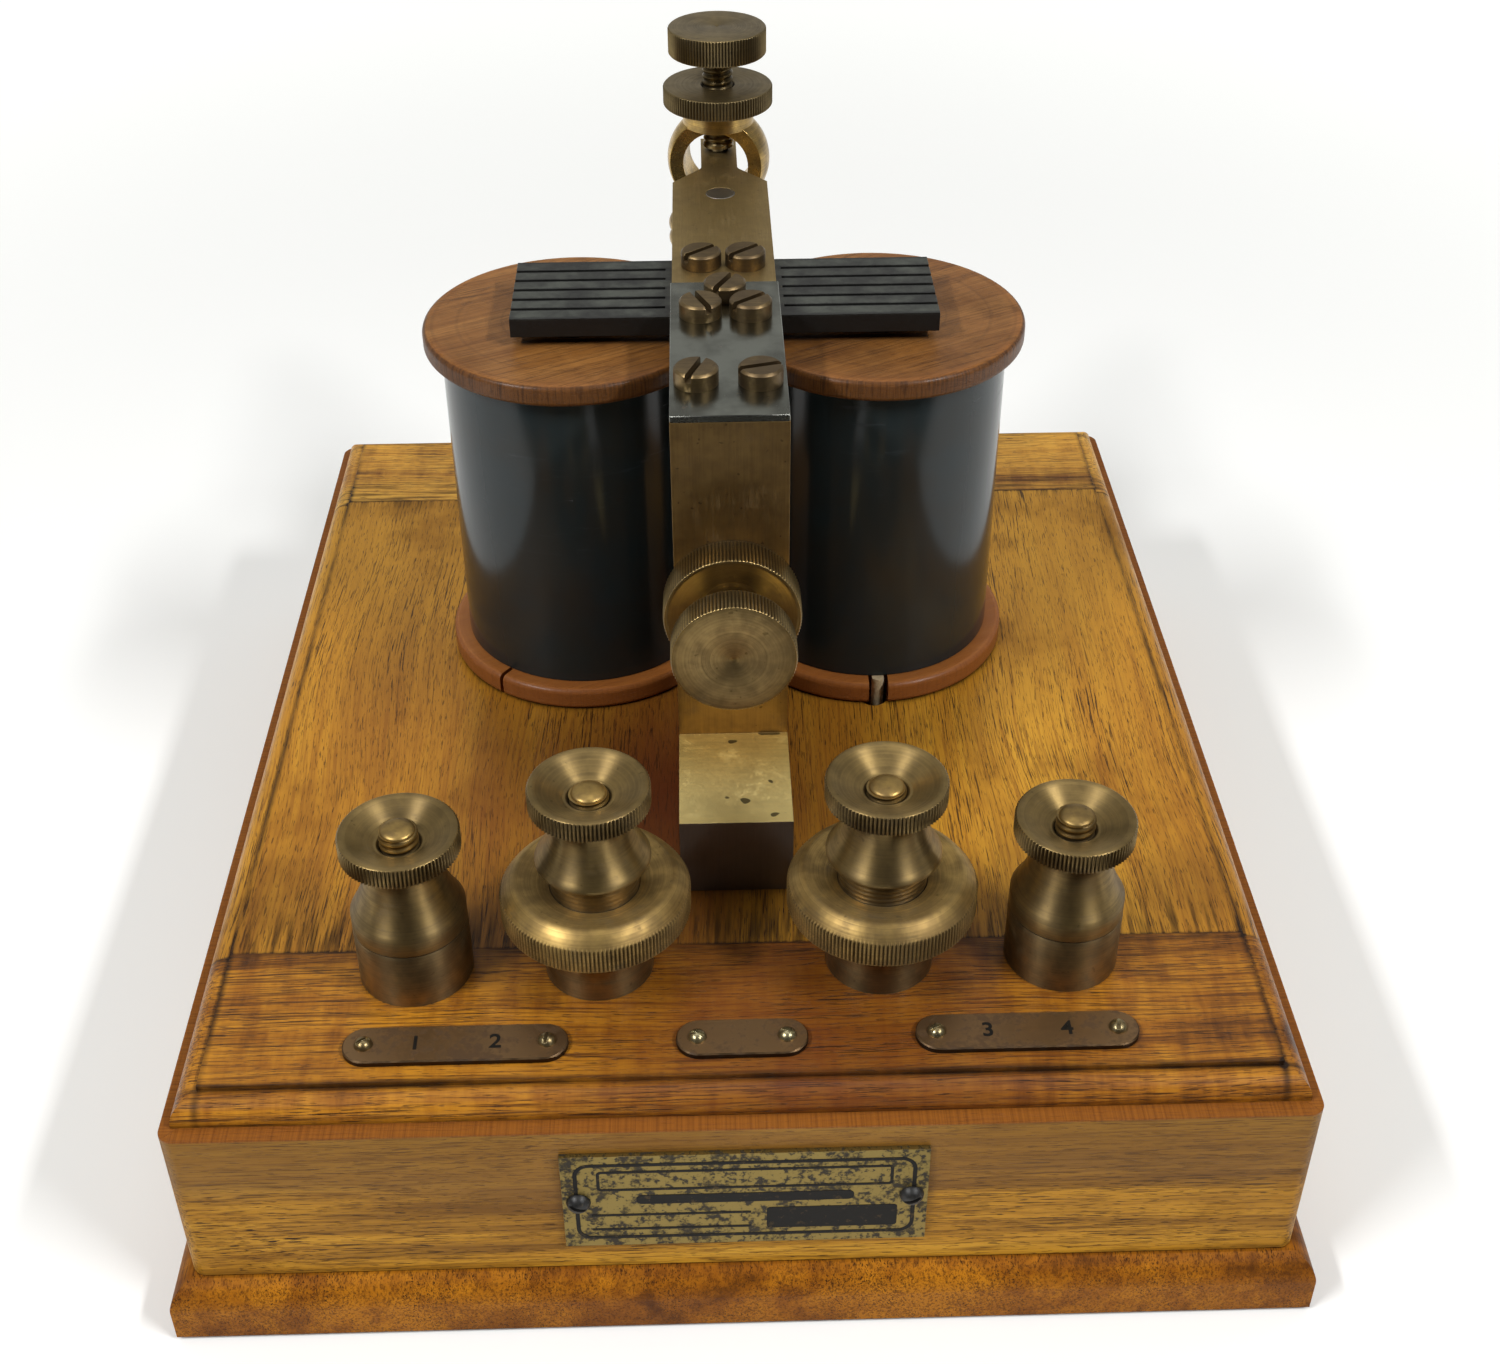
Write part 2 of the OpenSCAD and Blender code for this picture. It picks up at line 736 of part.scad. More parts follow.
module front_cleat() color(wood)
    difference() {
        intersection() {
            lid_blank();
            bar(-box_w, box_w, -box_d, front_joint_y, 0, 2 * lid_top);
        }
        lid_tongues(fit);
    }

module rear_cleat() color(wood)
    difference() {
        intersection() {
            lid_blank();
            bar(-box_w, box_w, rear_joint_y, box_d, 0, 2 * lid_top);
        }
        lid_tongues(fit);
    }

// Section of one bobbin flange with rounded edges
module flange_section(t) {
    r = flange_d / 2;
    e = flange_edge_r;
    translate([core_d / 2 + fit, 0])
        square([r - e - core_d / 2 - fit, t]);
    translate([core_d / 2 + fit, e])
        square([r - core_d / 2 - fit, t - 2 * e]);
    for (z = [e, t - e])
        translate([r - e, z])
            circle(r = e);
}

// Bobbin turned from one piece: two flanges and the barrel
module bobbin(x) {
    translate([x, coil_y, lid_top])
        rotate_extrude() {
            flange_section(lower_flange_t);
            translate([0, lower_flange_t + coil_l])
                flange_section(upper_flange_t);
            translate([core_d / 2 + fit, lower_flange_t / 2])
                square([barrel_t, coil_l + lower_flange_t]);
        }
}

// Vertical lead hole in a lower flange
module lead_hole(x, y) {
    rod(x, y, lid_top - cut, lid_top + lower_flange_t + cut, wire_d + 4 * fit);
}

module left_bobbin() color(dark_wood)
    difference() {
        bobbin(-coil_x);
        lead_hole(-coil_x, coil_y + lead_hole_r);
        lead_hole(-coil_x, coil_y - lead_hole_r);
        translate([-coil_x, coil_y, lid_top - cut])
            rotate([0, 0, slit_angle])
                translate([cover_d / 2 - cut / 2, -slit_w / 2, 0])
                    cube([flange_d, slit_w, lower_flange_t + 2 * cut]);
    }

module right_bobbin() color(dark_wood)
    difference() {
        bobbin(coil_x);
        lead_hole(coil_x, coil_y + lead_hole_r);
        bar(lead_x - notch_w / 2, lead_x + notch_w / 2, coil_y - flange_d, lead_y + notch_w / 2,
            lid_top - cut, lid_top + lower_flange_t + cut);
    }

// Tube round a coil axis between the flanges
module coil_tube(x, r_in, r_out) {
    translate([x, coil_y, lid_top + lower_flange_t + seat])
        rotate_extrude()
            translate([r_in, 0])
                square([r_out - r_in, coil_l - 2 * seat]);
}

module left_winding() color([0.65, 0.33, 0.2])
    coil_tube(-coil_x, barrel_r + seat, cover_d / 2 - cover_t - seat);

module right_winding() color([0.65, 0.33, 0.2])
    coil_tube(coil_x, barrel_r + seat, cover_d / 2 - cover_t - seat);

module left_cover() color([0.1, 0.09, 0.09])
    coil_tube(-coil_x, cover_d / 2 - cover_t, cover_d / 2);

module right_cover() color([0.1, 0.09, 0.09])
    coil_tube(coil_x, cover_d / 2 - cover_t, cover_d / 2);

// Iron core with a tapped hole in its lower end
module core(x) {
    difference() {
        rod(x, coil_y, lid_under, pole_z, core_d);
        rod(x, coil_y, lid_under - cut, lid_under + core_tap + fit, core_screw_d + fit);
    }
}

module left_core() color(iron)
    core(-coil_x);

module right_core() color(iron)
    core(coil_x);

module yoke() color(iron)
    difference() {
        bar(-yoke_l / 2, yoke_l / 2, coil_y - yoke_w / 2, coil_y + yoke_w / 2, yoke_z, lid_under);
        for (s = [-1, 1]) {
            rod(s * coil_x, coil_y, yoke_z - cut, lid_under + cut, core_screw_d + 2 * fit);
            rod(s * coil_x, coil_y + lead_hole_r, yoke_z - cut, lid_under + cut, lead_hole_d);
        }
        rod(-coil_x, coil_y - lead_hole_r, yoke_z - cut, lid_under + cut, lead_hole_d);
    }

module core_screws() color(steel)
    for (s = [-1, 1])
        translate([s * coil_x, coil_y, yoke_z])
            rotate([180, 0, 0])
                cheese_screw(core_screw_d, core_head_d, core_head_h, yoke_t + core_tap, 0);

module coil_lead() color([0.78, 0.72, 0.6])
    wire([[lead_x, lead_y, lid_top + lower_flange_t], [lead_x, lead_y, wire_top],
        [outer_post_x, post_y, wire_top], [outer_post_x, post_y, stem_end]], lead_d);

module wiring() color([0.55, 0.25, 0.18]) {
    flange_z = lid_top + lower_flange_t;
    wire([[-coil_x, coil_y - lead_hole_r, flange_z], [-coil_x, coil_y - lead_hole_r, wire_low],
        [inner_post_x, post_y, wire_low], [inner_post_x, post_y, stem_end]], wire_d);
    wire([[-coil_x, coil_y + lead_hole_r, flange_z], [-coil_x, coil_y + lead_hole_r, wire_low],
        [coil_x, coil_y + lead_hole_r, wire_low], [coil_x, coil_y + lead_hole_r, flange_z]], wire_d);
    wire([[0, foot_screw_front, lid_under - foot_head_h], [0, foot_screw_front, wire_top],
        [-inner_post_x, post_y, wire_top], [-inner_post_x, post_y, stem_end]], wire_d);
    wire([[0, rivet_y, stem_end], [0, rivet_y, wire_top],
        [-outer_post_x, post_y, wire_top], [-outer_post_x, post_y, stem_end]], wire_d);
}

module bracket() color(brass)
    difference() {
        union() {
            bar(-bar_w / 2, bar_w / 2, foot_front_y, upright_back_y, lid_top, lid_top + foot_h);
            bar(-bar_w / 2, bar_w / 2, upright_front_y, upright_back_y, lid_top, spring_z);
        }
        rod(0, foot_screw_front, lid_top - cut, lid_top + foot_tap + fit, foot_screw_d + fit);
        rod(0, foot_screw_back, lid_top - cut, lid_top + foot_tap + fit, foot_screw_d + fit);
        for (s = [-1, 1])
            rod(s * clamp_screw_x, upright_mid_y, spring_z - clamp_len - fit, spring_top, screw_d + fit);
        translate([0, upright_back_y + cut, tension_z])
            rotate([90, 0, 0])
                cylinder(d = thread_d + 2 * slip, h = upright_d + 2 * cut);
    }

module bracket_screws() color(steel)
    for (y = [foot_screw_front, foot_screw_back])
        translate([0, y, lid_under])
            rotate([180, 0, 0])
                cheese_screw(foot_screw_d, foot_head_d, foot_head_h, lid_top - lid_under + foot_tap, 0);

module hinge_spring() color(steel)
    difference() {
        bar(-bar_w / 2, bar_w / 2, upright_front_y, spring_back, spring_z, spring_top);
        for (s = [-1, 1])
            rod(s * clamp_screw_x, upright_mid_y, spring_z - cut, spring_top + cut, screw_d + 2 * fit);
        lever_screw_holes(spring_z - cut, spring_top + cut, screw_d + 2 * fit);
    }

// Holes of the three screws between spring and lever
module lever_screw_holes(z0, z1, d) {
    for (s = [-1, 1])
        rod(s * front_screw_x, lever_front + front_screw_at, z0, z1, d);
    rod(0, lever_front + middle_screw_at, z0, z1, d);
}

module clamp_screws() color(steel) {
    translate([-clamp_screw_x, upright_mid_y, spring_top])
        cheese_screw(screw_d, screw_head_d, screw_head_h, spring_t + clamp_len, 69);
    translate([clamp_screw_x, upright_mid_y, spring_top])
        cheese_screw(screw_d, screw_head_d, screw_head_h, spring_t + clamp_len, 15);
}

module tension_leaf() color(steel)
    difference() {
        union() {
            bar(-bar_w / 2, bar_w / 2, leaf_y, leaf_y + leaf_t, tension_z - leaf_tail, spring_z);
            bar(-bar_w / 2, bar_w / 2, leaf_y, spring_back, lever_top, spring_z);
        }
        lever_screw_holes(lever_top - cut, spring_z + cut, screw_d + 2 * fit);
    }

// Outline of the lever seen from above, with a rounded root of the tongue
module lever_outline() {
    w = lever_w / 2;
    t = tongue_w / 2;
    root = tongue_root_r;
    slope = atan2(w - t, shoulder_l);
    root_y = tongue_y + root * tan(slope / 2);
    right = [for (i = [0 : facet_steps])
        let (a = 180 + slope * (1 - i / facet_steps))
        [t + root + root * cos(a), root_y + root * sin(a)]];
    left = [for (i = [facet_steps : -1 : 0])
        [-right[i][0], right[i][1]]];
    polygon(concat([[-w, lever_front], [w, lever_front], [w, shoulder_y]], right,
        [[t, tongue_end], [-t, tongue_end]], left, [[-w, shoulder_y]]));
}

module lever() color(brass)
    difference() {
        translate([0, 0, lever_z])
            linear_extrude(height = lever_t)
                lever_outline();
        bar(-lever_w, lever_w, coil_y - armature_w / 2 - seat, coil_y + armature_w / 2 + seat,
            lever_z - cut, armature_top);
        lever_screw_holes(lever_z - cut, lever_top + cut, screw_d + fit);
        for (s = [-1, 1])
            rod(s * armature_screw_x, armature_screw_y, lever_z - cut, lever_top + cut, screw_d + 2 * fit);
        rod(0, rivet_y, lever_z - cut, lever_top + cut, rivet_d + 2 * seat);
    }

module lever_screws() color(steel) {
    len = spring_t + leaf_t + lever_t;
    translate([-front_screw_x, lever_front + front_screw_at, spring_top])
        cheese_screw(screw_d, screw_head_d, screw_head_h, len, -67);
    translate([front_screw_x, lever_front + front_screw_at, spring_top])
        cheese_screw(screw_d, screw_head_d, screw_head_h, len, 38);
    translate([0, lever_front + middle_screw_at, spring_top])
        cheese_screw(screw_d, screw_head_d, screw_head_h, len - housing_depth - fit, 63);
}

module armature() color(iron)
    difference() {
        bar(-armature_l / 2, armature_l / 2, coil_y - armature_w / 2, coil_y + armature_w / 2,
            armature_z, armature_top);
        for (i = [1 : slot_count], s = [0, 180])
            translate([0, coil_y, 0])
                rotate([0, 0, s])
                    bar(slot_x, slot_x + slot_l + cut, -armature_w / 2 + i * slot_pitch - slot_w / 2,
                        -armature_w / 2 + i * slot_pitch + slot_w / 2, armature_z - cut, armature_top + cut);
        for (s = [-1, 1])
            rod(s * armature_screw_x, armature_screw_y, armature_z - cut, armature_top + cut, screw_d + fit);
    }

module armature_screws() color(steel)
    for (s = [-1, 1])
        translate([s * armature_screw_x, armature_screw_y, lever_top])
            cheese_screw(screw_d, screw_head_d, screw_head_h, lever_top - armature_z, 40);

module lever_contact() color(silver) {
    rod(0, rivet_y, lever_z - contact_t, lever_z, contact_d);
    rod(0, rivet_y, lever_z - contact_t / 2, lever_top, rivet_d);
}

// Section of the pillar's turned shaft, from its foot to the neck under the eye
module shaft_section() {
    foot_z = lid_top + pillar_foot_t;
    shaft_r = shaft_d / 2;
    bead_x = collar_d / 2 - bead_r;
    translate([0, stem_end])
        square([stem_d / 2, foot_z - stem_end]);
    polygon(concat([[0, lid_top], [pillar_foot_d / 2, lid_top],
        [pillar_foot_d / 2, foot_z - knob_bevel], [pillar_foot_d / 2 - knob_bevel, foot_z]],
        ogee(pillar_foot_d / 2 - 2 * knob_bevel, foot_z, shaft_r, foot_z + pillar_foot_t),
        [[0, foot_z + pillar_foot_t]]));
    translate([0, foot_z])
        square([shaft_r, collar_top - collar_h - foot_z]);
    translate([0, collar_top - collar_h])
        square([bead_x, collar_h]);
    for (i = [1, 3])
        translate([bead_x, collar_top - i * bead_r])
            circle(r = bead_r);
    translate([0, collar_top - bead_r])
        square([neck_d / 2, eye_z - ball_reach(neck_d) + knob_bevel - collar_top + bead_r]);
}

module contact_pillar() color(brass)
    translate([0, eye_y, 0])
        difference() {
            union() {
                rotate_extrude()
                    shaft_section();
                translate([0, 0, eye_z])
                    intersection() {
                        sphere(d = eye_d);
                        rotate([0, 0, eye_turn])
                            cube([eye_d + 2 * cut, eye_l, eye_d + 2 * cut], center = true);
                    }
                rod(0, 0, eye_z + ball_reach(boss_d) - knob_bevel, boss_top, boss_d);
            }
            rod(0, 0, eye_z, boss_top + cut, thread_d + 2 * slip);
            translate([0, 0, eye_z])
                rotate([90, 0, eye_turn])
                    cylinder(d = eye_bore, h = eye_d + 2 * cut, center = true);
        }

module anvil_post() color(brass)
    translate([0, rivet_y, 0])
        rotate_extrude() {
            translate([0, stem_end])
                square([stem_d / 2, lid_top - stem_end + cut]);
            translate([0, lid_top])
                square([anvil_d * 0.75, pillar_foot_t]);
            translate([0, lid_top])
                square([anvil_d / 2, anvil_top - contact_t - lid_top]);
        }

module anvil_contact() color(silver)
    rod(0, rivet_y, anvil_top - contact_t, anvil_top, contact_d);

module stop_screw() color(brass)
    rod(0, eye_y, tip_z + tip_h, stop_knob_z + stop_knob_h * knob_blind - seat, thread_d);

module stop_tip() color(silver)
    rod(0, eye_y, tip_z, tip_z + tip_h, tip_d);

module stop_knob() color(brass)
    translate([0, eye_y, stop_knob_z])
        difference() {
            disc(stop_knob_d, stop_knob_h, 0);
            rod(0, 0, -cut, stop_knob_h * knob_blind, thread_d + 2 * slip);
        }

module stop_lock_nut() color(brass)
    translate([0, eye_y, stop_lock_z])
        disc(stop_lock_d, stop_lock_h, thread_d + 2 * slip);

// Places a turned piece on the tension screw's axis, its own axis pointing to the front
module on_tension_axis(y) {
    translate([0, y, tension_z])
        rotate([90, 0, 0])
            children();
}

module tension_screw() color(brass)
    on_tension_axis(leaf_y - seat)
        cylinder(d = thread_d, h = leaf_y - seat - tension_knob_y + tension_knob_h * knob_blind - seat);

module tension_knob() color(brass)
    on_tension_axis(tension_knob_y)
        difference() {
            disc(tension_knob_d, tension_knob_h, 0);
            rod(0, 0, -cut, tension_knob_h * knob_blind, thread_d + 2 * slip);
        }

module tension_lock_nut() color(brass)
    on_tension_axis(tension_lock_y)
        difference() {
            disc(tension_lock_d, tension_lock_h, thread_d + 2 * slip);
            translate([0, 0, tension_lock_h - tension_dish])
                cylinder(d1 = thread_d + 4, d2 = tension_rim_d, h = tension_dish);
            rod(0, 0, tension_lock_h - seat, tension_lock_h + cut, tension_rim_d);
        }

module outer_barrels() color(brass)
    for (s = [-1, 1])
        translate([s * outer_post_x, post_y, lid_top])
            disc(outer_barrel_d, outer_barrel_h, stud_d + 2 * slip);

module inner_barrels() color(brass)
    for (s = [-1, 1])
        translate([s * inner_post_x, post_y, lid_top])
            difference() {
                union() {
                    disc(inner_barrel_d, inner_barrel_h, 0);
                    translate([0, 0, inner_barrel_h / 2])
                        cylinder(d = ring_thread_d, h = inner_barrel_h / 2 + ring_thread_h);
                }
                rod(0, 0, -cut, inner_barrel_h + ring_thread_h + cut, stud_d + 2 * slip);
            }

// Stud of a binding post with a domed end, from under the lid to above its nut
module post_stud(x, top) {
    r = stud_d / 2;
    rod(x, post_y, stem_end, top - r / 2, stud_d);
    translate([x, post_y, top - r / 2])
        intersection() {
            translate([0, 0, -r * 0.75])
                sphere(r = r * 1.25);
            cylinder(d = stud_d, h = r);
        }
}

module post_studs() color(brass)
    for (s = [-1, 1]) {
        post_stud(s * outer_post_x, outer_seat_z + outer_nut_h + stud_proud);
        post_stud(s * inner_post_x, inner_seat_z + inner_nut_h - stud_sunk);
    }

module under_washers() color(brass) {
    for (x = post_xs)
        translate([x, post_y, lid_under - washer_t])
            difference() {
                cylinder(d = washer_d, h = washer_t);
                rod(0, 0, -cut, washer_t + cut, stud_d + 2 * fit);
            }
    for (y = [rivet_y, eye_y])
        translate([0, y, lid_under - washer_t])
            difference() {
                cylinder(d = stem_d * 2, h = washer_t);
                rod(0, 0, -cut, washer_t + cut, stem_d + 2 * fit);
            }
}

module under_nuts() color(brass) {
    for (x = post_xs)
        translate([x, post_y, lid_under - washer_t - hex_h])
            difference() {
                cylinder(d = hex_d, h = hex_h, $fn = 6);
                rod(0, 0, -cut, hex_h + cut, stud_d + fit);
            }
    for (y = [rivet_y, eye_y])
        translate([0, y, lid_under - washer_t - hex_h])
            difference() {
                cylinder(d = stem_d * 1.9, h = hex_h, $fn = 6);
                rod(0, 0, -cut, hex_h + cut, stem_d + fit);
            }
}

// Thumb nut with a flared skirt and a milled, dished head
module thumb_nut(x, z, skirt_h, flare_h) {
    bore = stud_d / 2 + slip;
    skirt = skirt_d / 2;
    neck = nut_neck_d / 2;
    head = nut_head_d / 2;
    b = knob_bevel;
    flare_top = skirt_h + flare_h;
    head_z = flare_top + nut_neck_l;
    top = head_z + nut_head_h;
    dish_r = stud_d / 2 + nut_rim;
    translate([x, post_y, z + seat])
        rotate_extrude()
            polygon(concat([[bore, 0], [skirt - b, 0], [skirt, b], [skirt, skirt_h]],
                cove(skirt, skirt_h, neck, flare_top),
                [[neck + b, head_z - b], [head - 3 * b, head_z], [head, head_z + b], [head, top - b],
                [head - b, top], [head - b - nut_rim, top],
                [dish_r, top - nut_dish], [bore, top - nut_dish]]));
}

module left_outer_nut() color(brass)
    thumb_nut(-outer_post_x, outer_seat_z, outer_skirt_h, outer_flare_h);

module left_inner_nut() color(brass)
    thumb_nut(-inner_post_x, inner_seat_z, inner_skirt_h, inner_flare_h);

module right_inner_nut() color(brass)
    thumb_nut(inner_post_x, inner_seat_z, inner_skirt_h, inner_flare_h);

module right_outer_nut() color(brass)
    thumb_nut(outer_post_x, outer_seat_z, outer_skirt_h, outer_flare_h);

// Ring nut with a milled band and a rounded, dished top
module ring_nut(x) {
    r = ring_nut_d / 2;
    bore = ring_thread_d / 2 + slip;
    b = knob_bevel;
    crest = ring_crest_d / 2;
    crown = [for (i = [0 : facet_steps]) [r - b - (r - b - crest) * i / facet_steps,
        ring_band_h + ring_crown * (1 - pow(1 - i / facet_steps, 2))]];
    translate([x, post_y, ring_seat_z + seat])
        rotate_extrude()
            polygon(concat([[bore, 0], [r - b, 0], [r, b], [r, ring_band_h - b]], crown,
                [[bore, ring_band_h + ring_crown / 3]]));
}

module left_ring_nut() color(brass)
    ring_nut(-inner_post_x);

module right_ring_nut() color(brass)
    ring_nut(inner_post_x);

// Plate with round ends and two screw holes
module label(x, len, screw_x) {
    translate([x, label_y, lid_top])
        linear_extrude(height = label_t)
            difference() {
                union() {
                    square([len - label_w, label_w], center = true);
                    for (s = [-1, 1])
                        translate([s * (len - label_w) / 2, 0])
                            circle(d = label_w);
                }
                for (s = [-1, 1])
                    translate([s * screw_x, 0])
                        circle(d = label_head_d * 0.45 + fit);
            }
}

module label_plates() color(brass) {
    for (s = [-1, 1])
        label(s * side_label_x, side_label_l, side_label_screw_x);
    label(0, centre_label_l, centre_label_screw_x);
}

module label_screws() color(brass) {
    len = label_screw_len - cut;
    for (s = [-1, 1]) {
        translate([s * side_label_x - side_label_screw_x, label_y, lid_top + label_t])
            round_screw(label_head_d, len, 30);
        translate([s * side_label_x + side_label_screw_x, label_y, lid_top + label_t])
            round_screw(label_head_d, len, 75);
        translate([s * centre_label_screw_x, label_y, lid_top + label_t])
            round_screw(label_head_d, len, -20);
    }
}

module nameplate() color(brass)
    difference() {
        bar(-nameplate_w / 2, nameplate_w / 2, -hd - nameplate_t, -hd,
            nameplate_z - nameplate_h / 2, nameplate_z + nameplate_h / 2);
        for (s = [-1, 1])
            translate([s * nameplate_screw_x, -hd + cut, nameplate_z])
                rotate([90, 0, 0])
                    cylinder(d = nameplate_head_d * 0.45 + fit, h = nameplate_t + 2 * cut);
    }

module nameplate_screws() color(iron)
    for (s = [-1, 1])
        translate([s * nameplate_screw_x, -hd - nameplate_t, nameplate_z])
            rotate([90, 0, 0])
                round_screw(nameplate_head_d, label_screw_len, 20 * s);

base_board();
front_wall();
rear_wall();
left_wall();
right_wall();
base_screws();
lid_panel();
front_cleat();
rear_cleat();
left_bobbin();
right_bobbin();
left_winding();
right_winding();
left_cover();
right_cover();
left_core();
right_core();
yoke();
core_screws();
coil_lead();
wiring();
bracket();
bracket_screws();
hinge_spring();
clamp_screws();
tension_leaf();
lever();
lever_screws();
armature();
armature_screws();
lever_contact();
contact_pillar();
anvil_post();
anvil_contact();
stop_screw();
stop_tip();
stop_knob();
stop_lock_nut();
tension_screw();
tension_knob();
tension_lock_nut();
outer_barrels();
inner_barrels();
post_studs();
under_washers();
under_nuts();
left_outer_nut();
left_inner_nut();
right_inner_nut();
right_outer_nut();
left_ring_nut();
right_ring_nut();
label_plates();
label_screws();
nameplate();
nameplate_screws();
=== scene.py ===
"""Dresses the keying relay: varnished wood, aged brass, lacquered coils, plates, light and camera."""

import json
import logging
import math
from dataclasses import dataclass
from enum import Enum
from typing import Any, Dict, List, Optional, Sequence, Tuple, Union

import bmesh
import bpy
from mathutils import Matrix, Vector


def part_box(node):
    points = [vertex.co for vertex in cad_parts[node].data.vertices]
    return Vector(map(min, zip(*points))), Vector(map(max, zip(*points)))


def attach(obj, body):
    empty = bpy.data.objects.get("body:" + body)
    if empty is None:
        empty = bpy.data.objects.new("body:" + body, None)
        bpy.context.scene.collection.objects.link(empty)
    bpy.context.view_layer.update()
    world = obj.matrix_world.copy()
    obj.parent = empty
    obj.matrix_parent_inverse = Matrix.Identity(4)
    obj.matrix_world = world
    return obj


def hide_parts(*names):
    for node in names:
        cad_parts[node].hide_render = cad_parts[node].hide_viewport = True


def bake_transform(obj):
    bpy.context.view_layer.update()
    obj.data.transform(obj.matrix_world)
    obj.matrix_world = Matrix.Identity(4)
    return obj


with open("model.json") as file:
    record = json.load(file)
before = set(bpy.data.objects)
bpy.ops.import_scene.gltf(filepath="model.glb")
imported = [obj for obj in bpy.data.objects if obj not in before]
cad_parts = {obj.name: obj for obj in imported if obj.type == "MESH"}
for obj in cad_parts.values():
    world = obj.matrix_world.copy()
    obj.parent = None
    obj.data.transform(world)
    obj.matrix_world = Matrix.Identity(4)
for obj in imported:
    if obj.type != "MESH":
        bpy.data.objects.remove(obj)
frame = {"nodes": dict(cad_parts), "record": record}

LOG = logging.getLogger("keying_relay")
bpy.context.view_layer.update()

MM = 0.001
EDGE = "edge_wear"
# groove depth share of milled bands and threads, which the brass paints as shade
MILL = "mill_depth"
SMOOTH_ANGLE = math.radians(38)
TURNED_SMOOTH = math.radians(50)
THREAD_SMOOTH = math.radians(60)
SHARP_ANGLE = 28.0
EASE_STEPS = 3
EASE_SHARE = 0.45
STRIP_SMOOTH = math.radians(30)
BRAID_SMOOTH = math.radians(70)
ON_AXIS = 1e-6
SLIP = 0.06

Colour = Tuple[float, float, float]
Scale = Tuple[float, float, float]
Term = Union["Sock", float, Sequence[float]]

BODY_OF = {node: body for body, nodes in frame["record"]["behaviour"]["bodies"].items() for node in nodes}


def tint(red: int, green: int, blue: int) -> Colour:
    """A colour of the shop's swatches as linear light.

    Args:
        red, green, blue: the swatch, 0 to 255.

    Returns:
        The three linear values.
    """
    shares = (red / 255, green / 255, blue / 255)
    return tuple(v / 12.92 if v <= 0.04045 else ((v + 0.055) / 1.055) ** 2.4 for v in shares)


class Axis(Enum):
    """The direction of a grain, or of a turned piece's axis."""

    X = 0
    Y = 1
    Z = 2

    def order(self, x: "Sock", y: "Sock", z: "Sock") -> Tuple["Sock", "Sock", "Sock"]:
        """The three numbers of a point, the one along this axis first."""
        return ((x, y, z), (y, x, z), (z, x, y))[self.value]


class Work(Enum):
    """How a metal surface was worked."""

    TURNED = "turned"
    DRAWN = "drawn"
    PLAIN = "plain"


class Sock:
    """A node's output that takes part in arithmetic."""

    def __init__(self, graph: "Graph", socket: bpy.types.NodeSocket) -> None:
        """Keeps the socket and the graph it belongs to."""
        self.graph = graph
        self.socket = socket

    def other(self, name: Union[int, str]) -> "Sock":
        """Another output of the same node."""
        return Sock(self.graph, self.socket.node.outputs[name])

    def __add__(self, term: Term) -> "Sock":
        """Sum."""
        return self.graph.combine("ADD", self, term)

    def __radd__(self, term: Term) -> "Sock":
        """Sum, with the term first."""
        return self.graph.combine("ADD", term, self)

    def __sub__(self, term: Term) -> "Sock":
        """Difference."""
        return self.graph.combine("SUBTRACT", self, term)

    def __rsub__(self, term: Term) -> "Sock":
        """Difference, with the term first."""
        return self.graph.combine("SUBTRACT", term, self)

    def __mul__(self, term: Term) -> "Sock":
        """Product."""
        return self.graph.combine("MULTIPLY", self, term)

    def __rmul__(self, term: Term) -> "Sock":
        """Product, with the term first."""
        return self.graph.combine("MULTIPLY", term, self)

    def __truediv__(self, term: Term) -> "Sock":
        """Quotient."""
        return self.graph.combine("DIVIDE", self, term)

    def __rtruediv__(self, term: Term) -> "Sock":
        """Quotient, with the term first."""
        return self.graph.combine("DIVIDE", term, self)


